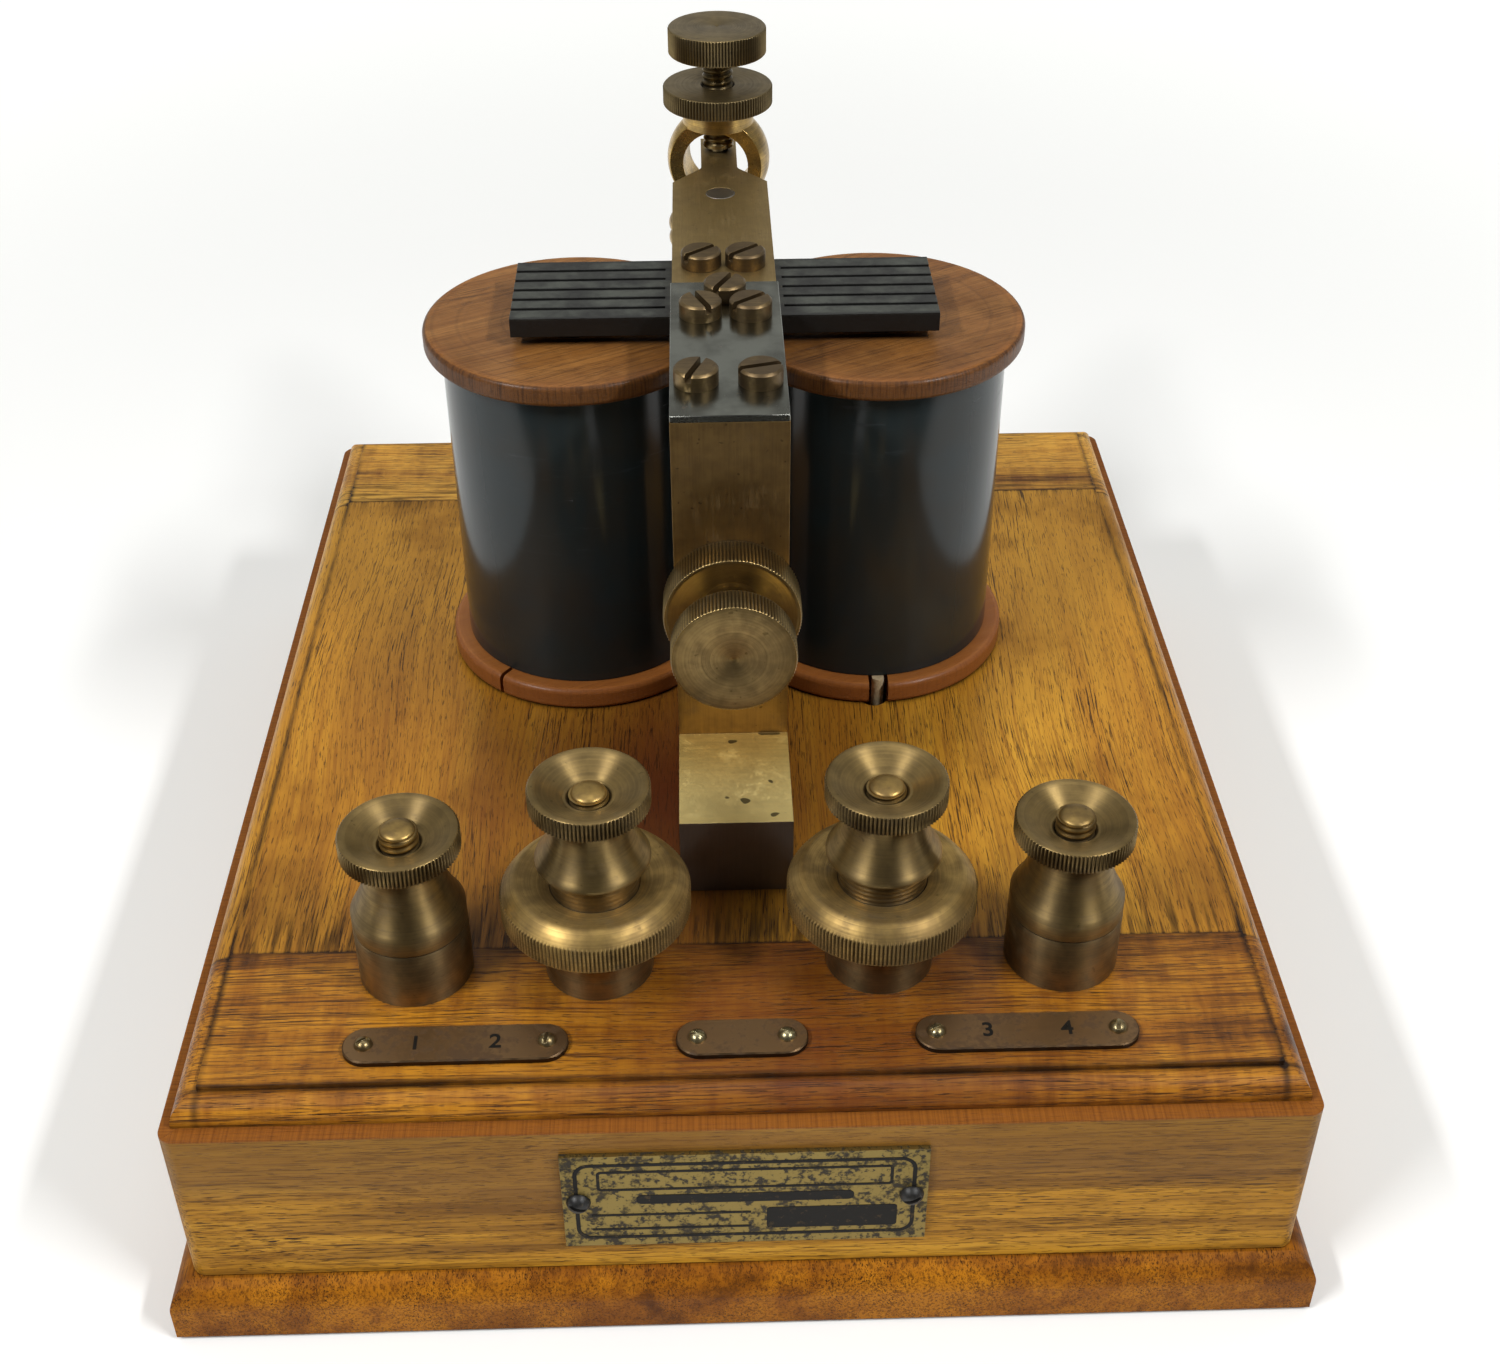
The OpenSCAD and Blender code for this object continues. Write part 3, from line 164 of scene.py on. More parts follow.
class Graph:
    """The node tree of one finish, or of the world."""

    def __init__(self, owner: Union[bpy.types.Material, bpy.types.World], shader: str, output: str) -> None:
        """Empties the owner's tree and puts in one shader.

        Args:
            owner: the material or world.
            shader: type of the shader node.
            output: type of the output node.
        """
        owner.use_nodes = True
        self.tree = owner.node_tree
        self.tree.nodes.clear()
        end = self.tree.nodes.new(output)
        self.shader = self.tree.nodes.new(shader)
        self.tree.links.new(self.shader.outputs[0], end.inputs["Surface"])

    def feed(self, socket: bpy.types.NodeSocket, term: Term) -> None:
        """Links a socket, or sets its value.

        Args:
            socket: the input.
            term: a linked output, a number or a row of numbers.
        """
        if isinstance(term, Sock):
            self.tree.links.new(term.socket, socket)
            return
        if socket.type == "RGBA":
            row = (term,) * 3 if isinstance(term, (int, float)) else tuple(term)
            socket.default_value = (*row[:3], 1.0)
        elif socket.type == "VECTOR":
            socket.default_value = (term,) * 3 if isinstance(term, (int, float)) else tuple(term)
        else:
            socket.default_value = term

    def node(
        self,
        kind: str,
        settings: Optional[Dict[str, Any]] = None,
        sockets: Optional[Dict[Union[int, str], Term]] = None,
        out: Union[int, str] = 0,
    ) -> Sock:
        """Adds any node.

        Args:
            kind: the node's type.
            settings: its properties, set first; "stops" fills a colour ramp.
            sockets: values or links of its inputs.
            out: the output to hand back.

        Returns:
            That output.
        """
        made = self.tree.nodes.new(kind)
        for key, value in (settings or {}).items():
            if key == "stops":
                self._fill_ramp(made.color_ramp, value)
            else:
                setattr(made, key, value)
        for key, term in (sockets or {}).items():
            self.feed(made.inputs[key], term)
        return Sock(self, made.outputs[out])

    @staticmethod
    def _fill_ramp(ramp: bpy.types.ColorRamp, stops: Sequence[Tuple[float, Colour]]) -> None:
        """Sets a ramp's stops, given as (place, colour)."""
        while len(ramp.elements) < len(stops):
            ramp.elements.new(0.5)
        for element, (place, colour) in zip(ramp.elements, stops):
            element.position = place
            element.color = (*colour, 1.0)

    def combine(self, operation: str, first: Term, second: Term) -> Sock:
        """One step of arithmetic, by the kind of its terms.

        Args:
            operation: ADD, SUBTRACT, MULTIPLY or DIVIDE.
            first, second: the terms.

        Returns:
            The result.
        """
        kinds = {term.socket.type for term in (first, second) if isinstance(term, Sock)}
        if "RGBA" in kinds:
            settings = {"data_type": "RGBA", "blend_type": operation}
            return self.node("ShaderNodeMix", settings, {0: 1.0, 6: first, 7: second}, 2)
        if "VECTOR" in kinds:
            return self.node("ShaderNodeVectorMath", {"operation": operation}, {0: first, 1: second})
        return self.calc(operation, first, second)

    def calc(self, operation: str, first: Term, second: Term = 0.0) -> Sock:
        """One Math node on numbers."""
        return self.node("ShaderNodeMath", {"operation": operation}, {0: first, 1: second})

    def length(self, vector: Sock) -> Sock:
        """The length of a vector."""
        return self.node("ShaderNodeVectorMath", {"operation": "LENGTH"}, {0: vector}, "Value")

    def dress(self, sockets: Dict[str, Term]) -> None:
        """Feeds the shader's own sockets."""
        for key, term in sockets.items():
            self.feed(self.shader.inputs[key], term)

    def place(self) -> Sock:
        """The point on the part at rest, in metres."""
        return self.node("ShaderNodeTexCoord", out="Object")

    def split(self, vector: Sock) -> Tuple[Sock, Sock, Sock]:
        """The three numbers of a vector."""
        x = self.node("ShaderNodeSeparateXYZ", sockets={0: vector}, out="X")
        return x, x.other("Y"), x.other("Z")

    def join(self, x: Term, y: Term, z: Term) -> Sock:
        """A vector of three numbers."""
        return self.node("ShaderNodeCombineXYZ", sockets={"X": x, "Y": y, "Z": z})

    def noise(self, vector: Sock, scale: float = 1.0, detail: float = 2.0, rough: float = 0.5) -> Sock:
        """Cloudy variation about 0.5.

        Args:
            vector: where.
            scale: clouds per unit of the vector.
            detail: number of finer octaves.
            rough: share of the finer octaves.

        Returns:
            The value.
        """
        sockets = {"Vector": vector, "Scale": scale, "Detail": detail, "Roughness": rough}
        return self.node("ShaderNodeTexNoise", sockets=sockets)

    def smooth(self, value: Term, low: float, high: float) -> Sock:
        """0 below low, 1 above high, eased between."""
        sockets = {"Value": value, "From Min": low, "From Max": high}
        return self.node("ShaderNodeMapRange", {"interpolation_type": "SMOOTHSTEP"}, sockets)

    def mix(self, share: Term, first: Term, second: Term) -> Sock:
        """Goes from the first colour to the second by a share."""
        settings = {"data_type": "RGBA", "clamp_factor": True}
        return self.node("ShaderNodeMix", settings, {0: share, 6: first, 7: second}, 2)

    def ramp(self, value: Term, stops: Sequence[Tuple[float, Colour]]) -> Sock:
        """A colour that changes along a value."""
        return self.node("ShaderNodeValToRGB", {"stops": stops}, {"Fac": value})

    def mark(self, name: str) -> Sock:
        """A number that a piece's mesh carries, such as EDGE on its eased arrises."""
        return self.node("ShaderNodeAttribute", {"attribute_name": name}, out="Fac")

    def facing(self) -> Tuple[Sock, Sock, Sock]:
        """The three numbers of the surface's direction on the part at rest."""
        return self.split(self.node("ShaderNodeTexCoord", out="Normal"))

    def near(self, value: Sock, place: float, reach: float) -> Sock:
        """1 at a place, falling to 0 at a distance from it."""
        return self.smooth(self.calc("ABSOLUTE", value - place), reach, 0.0)

    def crevice(self, distance: float, samples: int = 8) -> Sock:
        """Goes up to 1 in corners narrower than a distance, where the finishes paint shade and dirt."""
        settings = {"samples": samples, "only_local": False}
        open_share = self.node("ShaderNodeAmbientOcclusion", settings, {"Distance": distance}, "AO")
        return 1.0 - open_share

    def bump(self, height: Term, distance: float, strength: float = 1.0) -> Sock:
        """A normal that follows a height in units of distance."""
        return self.node("ShaderNodeBump", sockets={"Strength": strength, "Distance": distance, "Height": height})


@dataclass(frozen=True)
class Finish:
    """A surface finish, made once and shared by the pieces that have it."""

    name: str

    def paint(self, g: Graph) -> None:
        """Fills in the finish's nodes."""
        raise NotImplementedError

    def material(self) -> bpy.types.Material:
        """The finish as a material."""
        made = bpy.data.materials.get(self.name)
        if made is None:
            made = bpy.data.materials.new(self.name)
            self.paint(Graph(made, "ShaderNodeBsdfPrincipled", "ShaderNodeOutputMaterial"))
        return made


@dataclass(frozen=True)
class Wood(Finish):
    """Open-pored wood under worn varnish."""

    axis: Axis = Axis.X
    pale: Colour = tint(186, 130, 44)
    honey: Colour = tint(162, 106, 30)
    deep: Colour = tint(124, 74, 20)
    pore: Colour = tint(48, 26, 10)
    stain: Colour = tint(96, 52, 16)
    grime_and_shade: Colour = tint(34, 20, 9)
    figure: float = 0.0
    stains: float = 0.5
    pores: float = 0.85
    fibres: float = 0.5
    streaks: float = 0.5
    seed: float = 0.0
    gloss: float = 0.2
    coat: float = 0.16
    coat_roughness: float = 0.2
    # share of painted light that lightens the wood towards the rear
    painted_rear_light: float = 0.0
    joints: Tuple[float, ...] = ()
    quirk: Tuple[float, float] = (0.0, 0.0)
    # dark red of the painted shade and stain in the middle, and of the end grain band
    dark_red: Colour = tint(96, 48, 17)
    shade_and_stain: float = 0.0
    shade_and_stain_at: Tuple[float, float] = (0.0, -0.03)
    shade_and_stain_reach: float = 0.08
    slant: float = 0.0
    band: float = 0.0
    dull: Colour = tint(110, 76, 36)
    red: Colour = tint(138, 80, 26)
    wander_scale: Scale = (13, 19, 19)
    wander_reach: float = 0.008
    broad_scale: Scale = (5, 36, 36)
    streak_scale: Scale = (9, 310, 310)
    fibre_scale: Scale = (70, 2300, 2300)
    curl_scale: Scale = (300, 70, 70)
    crowd_scale: Scale = (16, 120, 120)
    long_pore_scale: Scale = (120, 4600, 4600)
    short_pore_scale: Scale = (380, 5600, 5600)
    ragged_scale: Scale = (60, 900, 900)
    tick_scale: Scale = (1700, 1, 1)
    stain_scale: float = 34
    wear_scale: float = 160
    grit_scale: float = 420
    rear_light_from: float = -0.02
    rear_light_to: float = 0.06
    browned_from: float = 0.0175
    browned_to: float = 0.011
    corner_reach: float = 0.0032
    joint_line: float = 0.0006
    joint_smear: float = 0.009
    smear_shift: float = 0.003
    quirk_line: float = 0.0011
    relief: float = 0.00006

    def paint(self, g: Graph) -> None:
        """Grain from stretched clouds, then pores, stains, painted shade in corners, dirt in the joints and a
        varnish coat.
        """
        spot = g.place()
        point = spot + (self.seed, self.seed * 1.7, self.seed * 0.6)
        x, y, z = g.split(point)
        if self.slant:
            ease, rise = math.cos(math.radians(self.slant)), math.sin(math.radians(self.slant))
            x, y = x * ease + y * rise, y * ease - x * rise
        along, across, depth = self.axis.order(x, y, z)
        wander = g.noise(g.join(along, across, depth) * self.wander_scale, detail=1) - 0.5
        grain = g.join(along, across + wander * self.wander_reach, depth)
        broad = g.noise(grain * self.broad_scale, detail=2)
        streak = g.noise(grain * self.streak_scale, detail=3, rough=0.6)
        fibre = g.noise(grain * self.fibre_scale, detail=2)
        curl = g.noise(g.join(along, across, depth) * self.curl_scale, detail=4, rough=0.6) - 0.5
        tone = (broad - 0.5) * 0.75 + (streak - 0.5) * self.streaks + curl * self.figure + 0.5
        colour = g.ramp(tone, [(0.28, self.deep), (0.46, self.honey), (0.66, self.pale)])
        colour = g.mix(g.smooth(fibre, 0.44, 0.7) * self.fibres, colour, self.deep)
        # painted light: lighter towards the rear, where the lamps in front light the lid less
        if self.painted_rear_light:
            colour = g.mix(g.smooth(g.split(spot)[1], self.rear_light_from, self.rear_light_to) * self.painted_rear_light, colour, self.pale)
        # painted shade in front of the coils, posts and bracket, mixed with a reddish stain
        if self.shade_and_stain:
            colour = g.mix(self.shade_and_stain_mask(g, spot, wander) * self.shade_and_stain, colour, self.dark_red)
        stain = g.smooth(g.noise(point, self.stain_scale, 4, 0.62), 0.5, 0.74)
        colour = g.mix(stain * self.stains, colour, self.stain)
        pore = self.open_pores(g, grain)
        colour = g.mix(pore * self.pores, colour, self.pore)
        if self.band:
            colour = self.brown_top_and_band(g, spot, wander, colour)
        # painted shade in corners, with dirt along the joints and a dark quirk line
        shade_and_dirt = self.shade_and_soiling(g, spot, grain, streak)
        colour = g.mix(shade_and_dirt * 0.85, colour, self.grime_and_shade)
        wear = g.mark(EDGE) * g.smooth(g.noise(point, self.wear_scale, 2), 0.35, 0.65)
        colour = g.mix(wear * 0.55, colour, self.stain)
        rough = 0.42 + stain * 0.12 + (fibre - 0.5) * 0.15
        height = fibre * 0.35 - pore * 0.9 + g.noise(point, self.grit_scale, 2) * 0.5 + curl * self.figure
        g.dress({
            "Base Color": colour,
            "Roughness": rough,
            "Specular IOR Level": self.gloss,
            "Coat Weight": self.coat - shade_and_dirt * 0.2 - stain * 0.1,
            "Coat Roughness": self.coat_roughness,
            "Normal": g.bump(height, self.relief, 0.8),
        })

    def shade_and_stain_mask(self, g: Graph, spot: Sock, wander: Sock) -> Sock:
        """Where the wood is darker and redder: painted shade in front of the coils, posts and bracket, mixed with a
        reddish stain.

        Args:
            g: the finish's graph.
            spot: the point on the part.
            wander: an uneven value about 0.

        Returns:
            The share, 0 to 1.
        """
        x, y, _ = g.split(spot)
        across = g.near(x + wander * 0.04, self.shade_and_stain_at[0], self.shade_and_stain_reach * 0.8)
        return across * g.near(y + wander * 0.02, self.shade_and_stain_at[1], self.shade_and_stain_reach)

    def brown_top_and_band(self, g: Graph, spot: Sock, wander: Sock, colour: Sock) -> Sock:
        """Browns a wall towards its top and ends it in a band of end grain.

        Args:
            g: the finish's graph.
            spot: the point on the part.
            wander: an uneven value about 0.
            colour: the wall's colour so far.

        Returns:
            The changed colour.
        """
        along, height = g.split(spot)[self.axis.value], g.split(spot)[2]
        browned = (self.band - self.browned_from, self.band - self.browned_to)
        # duller brown towards the wall's top
        shade = g.smooth(height + wander * 0.014, *browned)
        colour = g.mix(shade * 0.7, colour, self.dull)
        ticks = g.smooth(g.noise(g.join(along, 0.0, 0.0) * self.tick_scale, detail=3, rough=0.7), 0.4, 0.65)
        edge = g.smooth(height, self.band - 0.0002, self.band + 0.0002)
        return g.mix(edge * 0.85, colour, g.mix(ticks * 0.7, self.red, self.dark_red))

    def open_pores(self, g: Graph, grain: Sock) -> Sock:
        """Long and short pores, crowded here and there.

        Args:
            g: the finish's graph.
            grain: the point, its first number along the grain.

        Returns:
            The share, 0 to 1.
        """
        crowd = g.smooth(g.noise(grain * self.crowd_scale, detail=2), 0.34, 0.6)
        long_ones = g.smooth(g.noise(grain * self.long_pore_scale, detail=1), 0.6, 0.66)
        short_ones = g.smooth(g.noise(grain * self.short_pore_scale, detail=1), 0.62, 0.68)
        return long_ones * crowd + short_ones * 0.75

    def shade_and_soiling(self, g: Graph, spot: Sock, grain: Sock, streak: Sock) -> Sock:
        """Painted shade in corners, dirt along the joints and a dark line in the quirk of the moulding.

        Args:
            g: the finish's graph.
            spot: the point on the part.
            grain: the point, its first number along the grain.
            streak: long uneven streaks.

        Returns:
            The share, 0 to 1 and a little over.
        """
        # painted shade in corners, from the crevice test
        shade_and_dirt = g.smooth(g.crevice(self.corner_reach) + (streak - 0.5) * 0.5, 0.3, 0.85)
        x, y, _ = g.split(spot)
        ragged = g.smooth(g.noise(grain * self.ragged_scale, detail=3), 0.42, 0.62)
        for joint in self.joints:
            smear = g.near(y, joint + self.smear_shift, self.joint_smear) * ragged
            shade_and_dirt = shade_and_dirt + (g.near(y, joint, self.joint_line) * 0.5 + smear * 0.8)
        if self.quirk[0]:
            uneven = g.smooth(g.noise(spot, 55, 4, 0.65), 0.34, 0.62)
            for value, edge in ((x, self.quirk[0]), (y, self.quirk[1])):
                away = g.calc("ABSOLUTE", value)
                shade_and_dirt = shade_and_dirt + g.near(away, edge, self.quirk_line) * (0.35 + uneven * 0.6)
        return shade_and_dirt


@dataclass(frozen=True)
class FlangeWood(Wood):
    """Turned wood of a coil flange, browned, with rings from the lathe."""

    pale: Colour = tint(146, 100, 50)
    honey: Colour = tint(120, 77, 34)
    deep: Colour = tint(84, 51, 22)
    stain: Colour = tint(56, 33, 16)
    centre: Tuple[float, float] = (0.0, 0.0)
    rim: Colour = tint(150, 92, 42)
    # warmer colour of the lower flange, partly painted light that lifts its shade
    low: Colour = tint(176, 104, 48)
    radius: float = 0.0268
    rim_width: float = 0.0035
    ring_scale: Scale = (900, 1, 1)
    end_scale: Scale = (2400, 140, 1)
    painted_light_from: float = 0.0625
    painted_light_to: float = 0.0575

    def paint(self, g: Graph) -> None:
        """Adds turning rings, a rubbed rim, upright end grain and painted light low down to the grain."""
        super().paint(g)
        x, y, z = g.split(g.place())
        dx, dy = x - self.centre[0], y - self.centre[1]
        radius = g.length(g.join(dx, dy, 0.0))
        rings = g.noise(g.join(radius, 0.0, 0.0) * self.ring_scale, detail=3)
        base = Sock(g, g.shader.inputs["Base Color"].links[0].from_socket)
        colour = g.mix(g.smooth(rings, 0.5, 0.75) * 0.35, base, self.stain)
        rubbed = g.smooth(g.noise(g.place(), 120, 3), 0.3, 0.6)
        rim = g.smooth(radius, self.radius - self.rim_width, self.radius) * rubbed
        colour = g.mix(rim * 0.35, colour, self.rim)
        turn = g.calc("ARCTAN2", dx, dy) * self.radius
        ends = g.smooth(g.noise(g.join(turn, z, 0.0) * self.end_scale, detail=3, rough=0.65), 0.42, 0.66)
        edge = g.smooth(radius, self.radius - 0.0007, self.radius - 0.0003)
        # painted light in part: lighter and warmer low down, lifting the shade on the lower flange
        low = g.smooth(z, self.painted_light_from, self.painted_light_to)
        colour = g.mix(ends * edge * 0.8, g.mix(edge * 0.8, colour, self.deep), self.stain)
        g.dress({"Base Color": g.mix(low * 0.45, colour, self.low)})


@dataclass(frozen=True)
class Brass(Finish):
    """Brass with the marks of the lathe or the file under brown tarnish."""

    work: Work = Work.TURNED
    axis: Axis = Axis.Z
    centre: Tuple[float, float, float] = (0.0, 0.0, 0.0)
    bright: Colour = tint(172, 146, 94)
    aged: Colour = tint(128, 108, 72)
    brown: Colour = tint(90, 72, 49)
    dark: Colour = tint(36, 29, 21)
    tarnish: float = 0.5
    spots: float = 0.35
    polish: float = 0.32
    reach: float = 0.0016
    swirl: float = 0.0
    rubbing: float = 0.45
    turned_scale: Scale = (2600, 2600, 1)
    drawn_scale: Scale = (70, 2600, 2600)
    cloud_scale: float = 75
    fleck_scale: float = 420
    worn_scale: float = 170
    pit_scale: float = 900
    rub_scale: float = 300
    relief: float = 0.00002

    def lines(self, g: Graph, point: Sock) -> Sock:
        """The fine marks of working the piece.

        Args:
            g: the finish's graph.
            point: the point on the piece.

        Returns:
            Their height, about 0.5.
        """
        x, y, z = g.split(point - self.centre)
        along, first, second = self.axis.order(x, y, z)
        if self.work is Work.TURNED:
            radius = g.length(g.join(first, second, 0.0))
            return g.noise(g.join(radius, along, 0.0) * self.turned_scale, detail=3, rough=0.7)
        if self.work is Work.DRAWN:
            return g.noise(g.join(along, first, second) * self.drawn_scale, detail=3, rough=0.7)
        return g.noise(point, self.pit_scale, 3)

    def zone(self, g: Graph, colour: Sock, rough: Sock) -> Tuple[Sock, Sock]:
        """Changes colour and roughness by place; plain brass stays as it is."""
        return colour, rough

    def paint(self, g: Graph) -> None:
        """Tarnish clouds over bright metal, painted shade in corners and in the grooves of milling and threads, and
        bright on arrises.
        """
        point = g.place()
        lines = self.lines(g, point)
        flecks = (g.noise(point, self.fleck_scale, 3) - 0.5) * 0.6
        cloud = g.noise(point, self.cloud_scale, 4, 0.6) + flecks + (lines - 0.5) * 0.5
        middle = 0.72 - self.tarnish * 0.44
        aged = g.smooth(cloud, middle - 0.3, middle + 0.3)
        colour = g.mix(aged, self.bright, self.aged)
        worn = g.noise(point, self.worn_scale, 4, 0.7) + (lines - 0.5) * 0.3
        browned = g.smooth(worn, 0.72 - self.tarnish * 0.3, 1.0 - self.tarnish * 0.25)
        colour = g.mix(browned * 0.7, colour, self.brown)
        pits = g.smooth(g.noise(point, self.pit_scale, 1), 0.72, 0.78) * self.spots
        colour = g.mix(pits, colour, self.dark)
        rough = self.polish + aged * 0.08 + browned * 0.1 + (lines - 0.5) * 0.18
        colour, rough = self.zone(g, colour, rough)
        # painted shade in corners
        corner = g.smooth(g.crevice(self.reach), 0.35, 0.85)
        colour = g.mix(corner * 0.65, colour, self.dark)
        # painted shade in the grooves of milled bands and threads
        colour = g.mix(g.mark(MILL) * 0.75, colour, self.dark)
        rubbed = g.mark(EDGE) * g.smooth(g.noise(point, self.rub_scale, 2), 0.3, 0.55)
        colour = g.mix(rubbed * self.rubbing, colour, self.bright)
        g.dress({
            "Base Color": colour,
            "Metallic": 0.95 - browned * 0.35 - corner * 0.3,
            "Roughness": rough + corner * 0.12,
            "Anisotropic": self.swirl,
            "Anisotropic Rotation": 0.25,
            "Normal": g.bump(lines - pits * 0.6, self.relief, 0.6),
        })


@dataclass(frozen=True)
class BracketBrass(Brass):
    """The bracket's bar: browned face, a satin foot brightened by painted light, and painted shade on the foot's
    front end.
    """

    foot_top: float = 0.0645
    foot_end: float = -0.0563
    satin_and_light: Colour = tint(218, 186, 108)
    shade: Colour = tint(128, 122, 116)
    painted_highlight: Colour = tint(255, 236, 166)
    highlight_from: float = -0.036
    arris: float = 0.0004
    streak_scale: Scale = (160, 1500, 160)
    eaten_scale: float = 380

    def zone(self, g: Graph, colour: Sock, rough: Sock) -> Tuple[Sock, Sock]:
        """Brightens the foot's top, partly for its clean satin and partly as painted light, adds a painted
        highlight towards its front edge, and paints shade on its front end.
        """
        x, y, z = g.split(g.place())
        _, _, up = g.facing()
        # painted light on the up-facing top of the foot, over its clean satin brass
        pale = g.smooth(up, 0.7, 0.9) * g.smooth(z, self.foot_top, self.foot_top - self.arris)
        streaks = g.noise(g.place() * self.streak_scale, detail=3)
        colour = g.mix(pale * (0.6 + streaks * 0.6), colour, self.satin_and_light)
        # painted highlight that grows towards the foot's front edge
        ahead = g.smooth(y, self.highlight_from, self.foot_end + 0.002)
        colour = g.mix(pale * ahead * 0.75, colour, self.painted_highlight)
        eaten = g.smooth(g.noise(g.place(), self.eaten_scale, 0) + g.smooth(x, 0.0, 0.007) * 0.07, 0.77, 0.8)
        colour = g.mix(pale * eaten * 0.8, colour, self.dark)
        # painted shade on the foot's front end
        end = g.smooth(y, self.foot_end, self.foot_end - self.arris) * (1.0 - pale)
        colour = g.mix(end * (0.7 + streaks * 0.4), colour, self.shade)
        return colour, rough + pale * 0.16 + end * 0.12


@dataclass(frozen=True)
class Steel(Finish):
    """Steel strip or screws, greyed, with a little rust."""

    base: Colour = tint(150, 152, 152)
    grey: Colour = tint(104, 105, 104)
    rust: Colour = tint(96, 58, 34)
    axis: Axis = Axis.Y
    polish: float = 0.2
    rusted: float = 0.3
    dirt_and_shade: Colour = tint(34, 32, 30)
    shine: Colour = tint(190, 190, 186)
    drawn_scale: Scale = (80, 2400, 2400)
    cloud_scale: float = 90
    rust_scale: float = 170
    corner_reach: float = 0.0015
    relief: float = 0.00001

    def paint(self, g: Graph) -> None:
        """Drawn lines, grey clouds, rust specks and painted shade in corners."""
        point = g.place()
        x, y, z = g.split(point)
        along, first, second = self.axis.order(x, y, z)
        lines = g.noise(g.join(along, first, second) * self.drawn_scale, detail=3, rough=0.7)
        cloud = g.smooth(g.noise(point, self.cloud_scale, 4, 0.6), 0.38, 0.66)
        colour = g.mix(cloud, self.base, self.grey)
        rust = g.smooth(g.noise(point, self.rust_scale, 4, 0.7), 0.66, 0.76) * self.rusted
        colour = g.mix(rust, colour, self.rust)
        # painted shade in corners
        corner = g.smooth(g.crevice(self.corner_reach), 0.3, 0.85)
        colour = g.mix(corner * 0.7, colour, self.dirt_and_shade)
        colour = g.mix(g.mark(EDGE) * 0.15, colour, self.shine)
        g.dress({
            "Base Color": colour,
            "Metallic": 1.0 - rust * 0.8,
            "Roughness": self.polish + cloud * 0.1 + rust * 0.35 + (lines - 0.5) * 0.12,
            "Normal": g.bump(lines, self.relief, 0.6),
        })


@dataclass(frozen=True)
class BlackIron(Finish):
    """Iron under worn matt black."""

    base: Colour = tint(40, 41, 40)
    worn: Colour = tint(92, 92, 86)
    deep: Colour = tint(18, 18, 18)
    matt: float = 0.46
    top: float = 0.0
    slots: Tuple[float, float] = (0.0, 0.0)
    grit_scale: float = 1500
    cloud_scale: float = 110
    rub_scale: float = 420
    ragged_scale: float = 700
    ragged_reach: float = 0.0011
    corner_reach: float = 0.001
    slot_edge: Tuple[float, float] = (0.0009, 0.0005)
    top_edge: Tuple[float, float] = (0.0002, 0.0005)
    relief: float = 0.00005

    def paint(self, g: Graph) -> None:
        """Grainy black, greyed on top and along arrises, with painted shade in corners, in the slots and on the
        faces below a top face.
        """
        point = g.place()
        grit = g.noise(point, self.grit_scale, 3, 0.7)
        cloud = g.noise(point, self.cloud_scale, 4, 0.65)
        colour = g.mix(g.smooth(cloud, 0.35, 0.7), self.deep, self.base)
        colour = g.mix(g.smooth(grit, 0.6, 0.75) * 0.35, colour, self.worn)
        rubbed = g.mark(EDGE) * g.smooth(g.noise(point, self.rub_scale, 3), 0.38, 0.6)
        colour = g.mix(rubbed * 0.6, colour, self.worn)
        # painted shade in corners
        corner = g.smooth(g.crevice(self.corner_reach), 0.25, 0.8)
        colour = g.mix(corner * 0.8, colour, self.deep)
        # painted shade on the faces below the top face
        if self.top:
            height = g.split(point)[2] + (grit - 0.5) * self.top_edge[1]
            below = g.smooth(height, self.top - self.top_edge[0], self.top - self.top_edge[1])
            colour = g.mix(below * 0.9, colour, self.deep)
        # painted shade in the slots
        if self.slots[1]:
            across = g.split(point)[1] - self.slots[0]
            away = g.calc("PINGPONG", across, self.slots[1] / 2)
            ragged = away + (g.noise(point, self.ragged_scale, 3, 0.7) - 0.5) * self.ragged_reach
            colour = g.mix(g.smooth(ragged, *self.slot_edge) * 0.85, colour, self.deep)
        g.dress({
            "Base Color": colour,
            "Metallic": rubbed * 0.6,
            "Roughness": self.matt + (grit - 0.5) * 0.3 - rubbed * 0.1,
            "Normal": g.bump(grit + cloud * 0.5, self.relief, 0.7),
        })


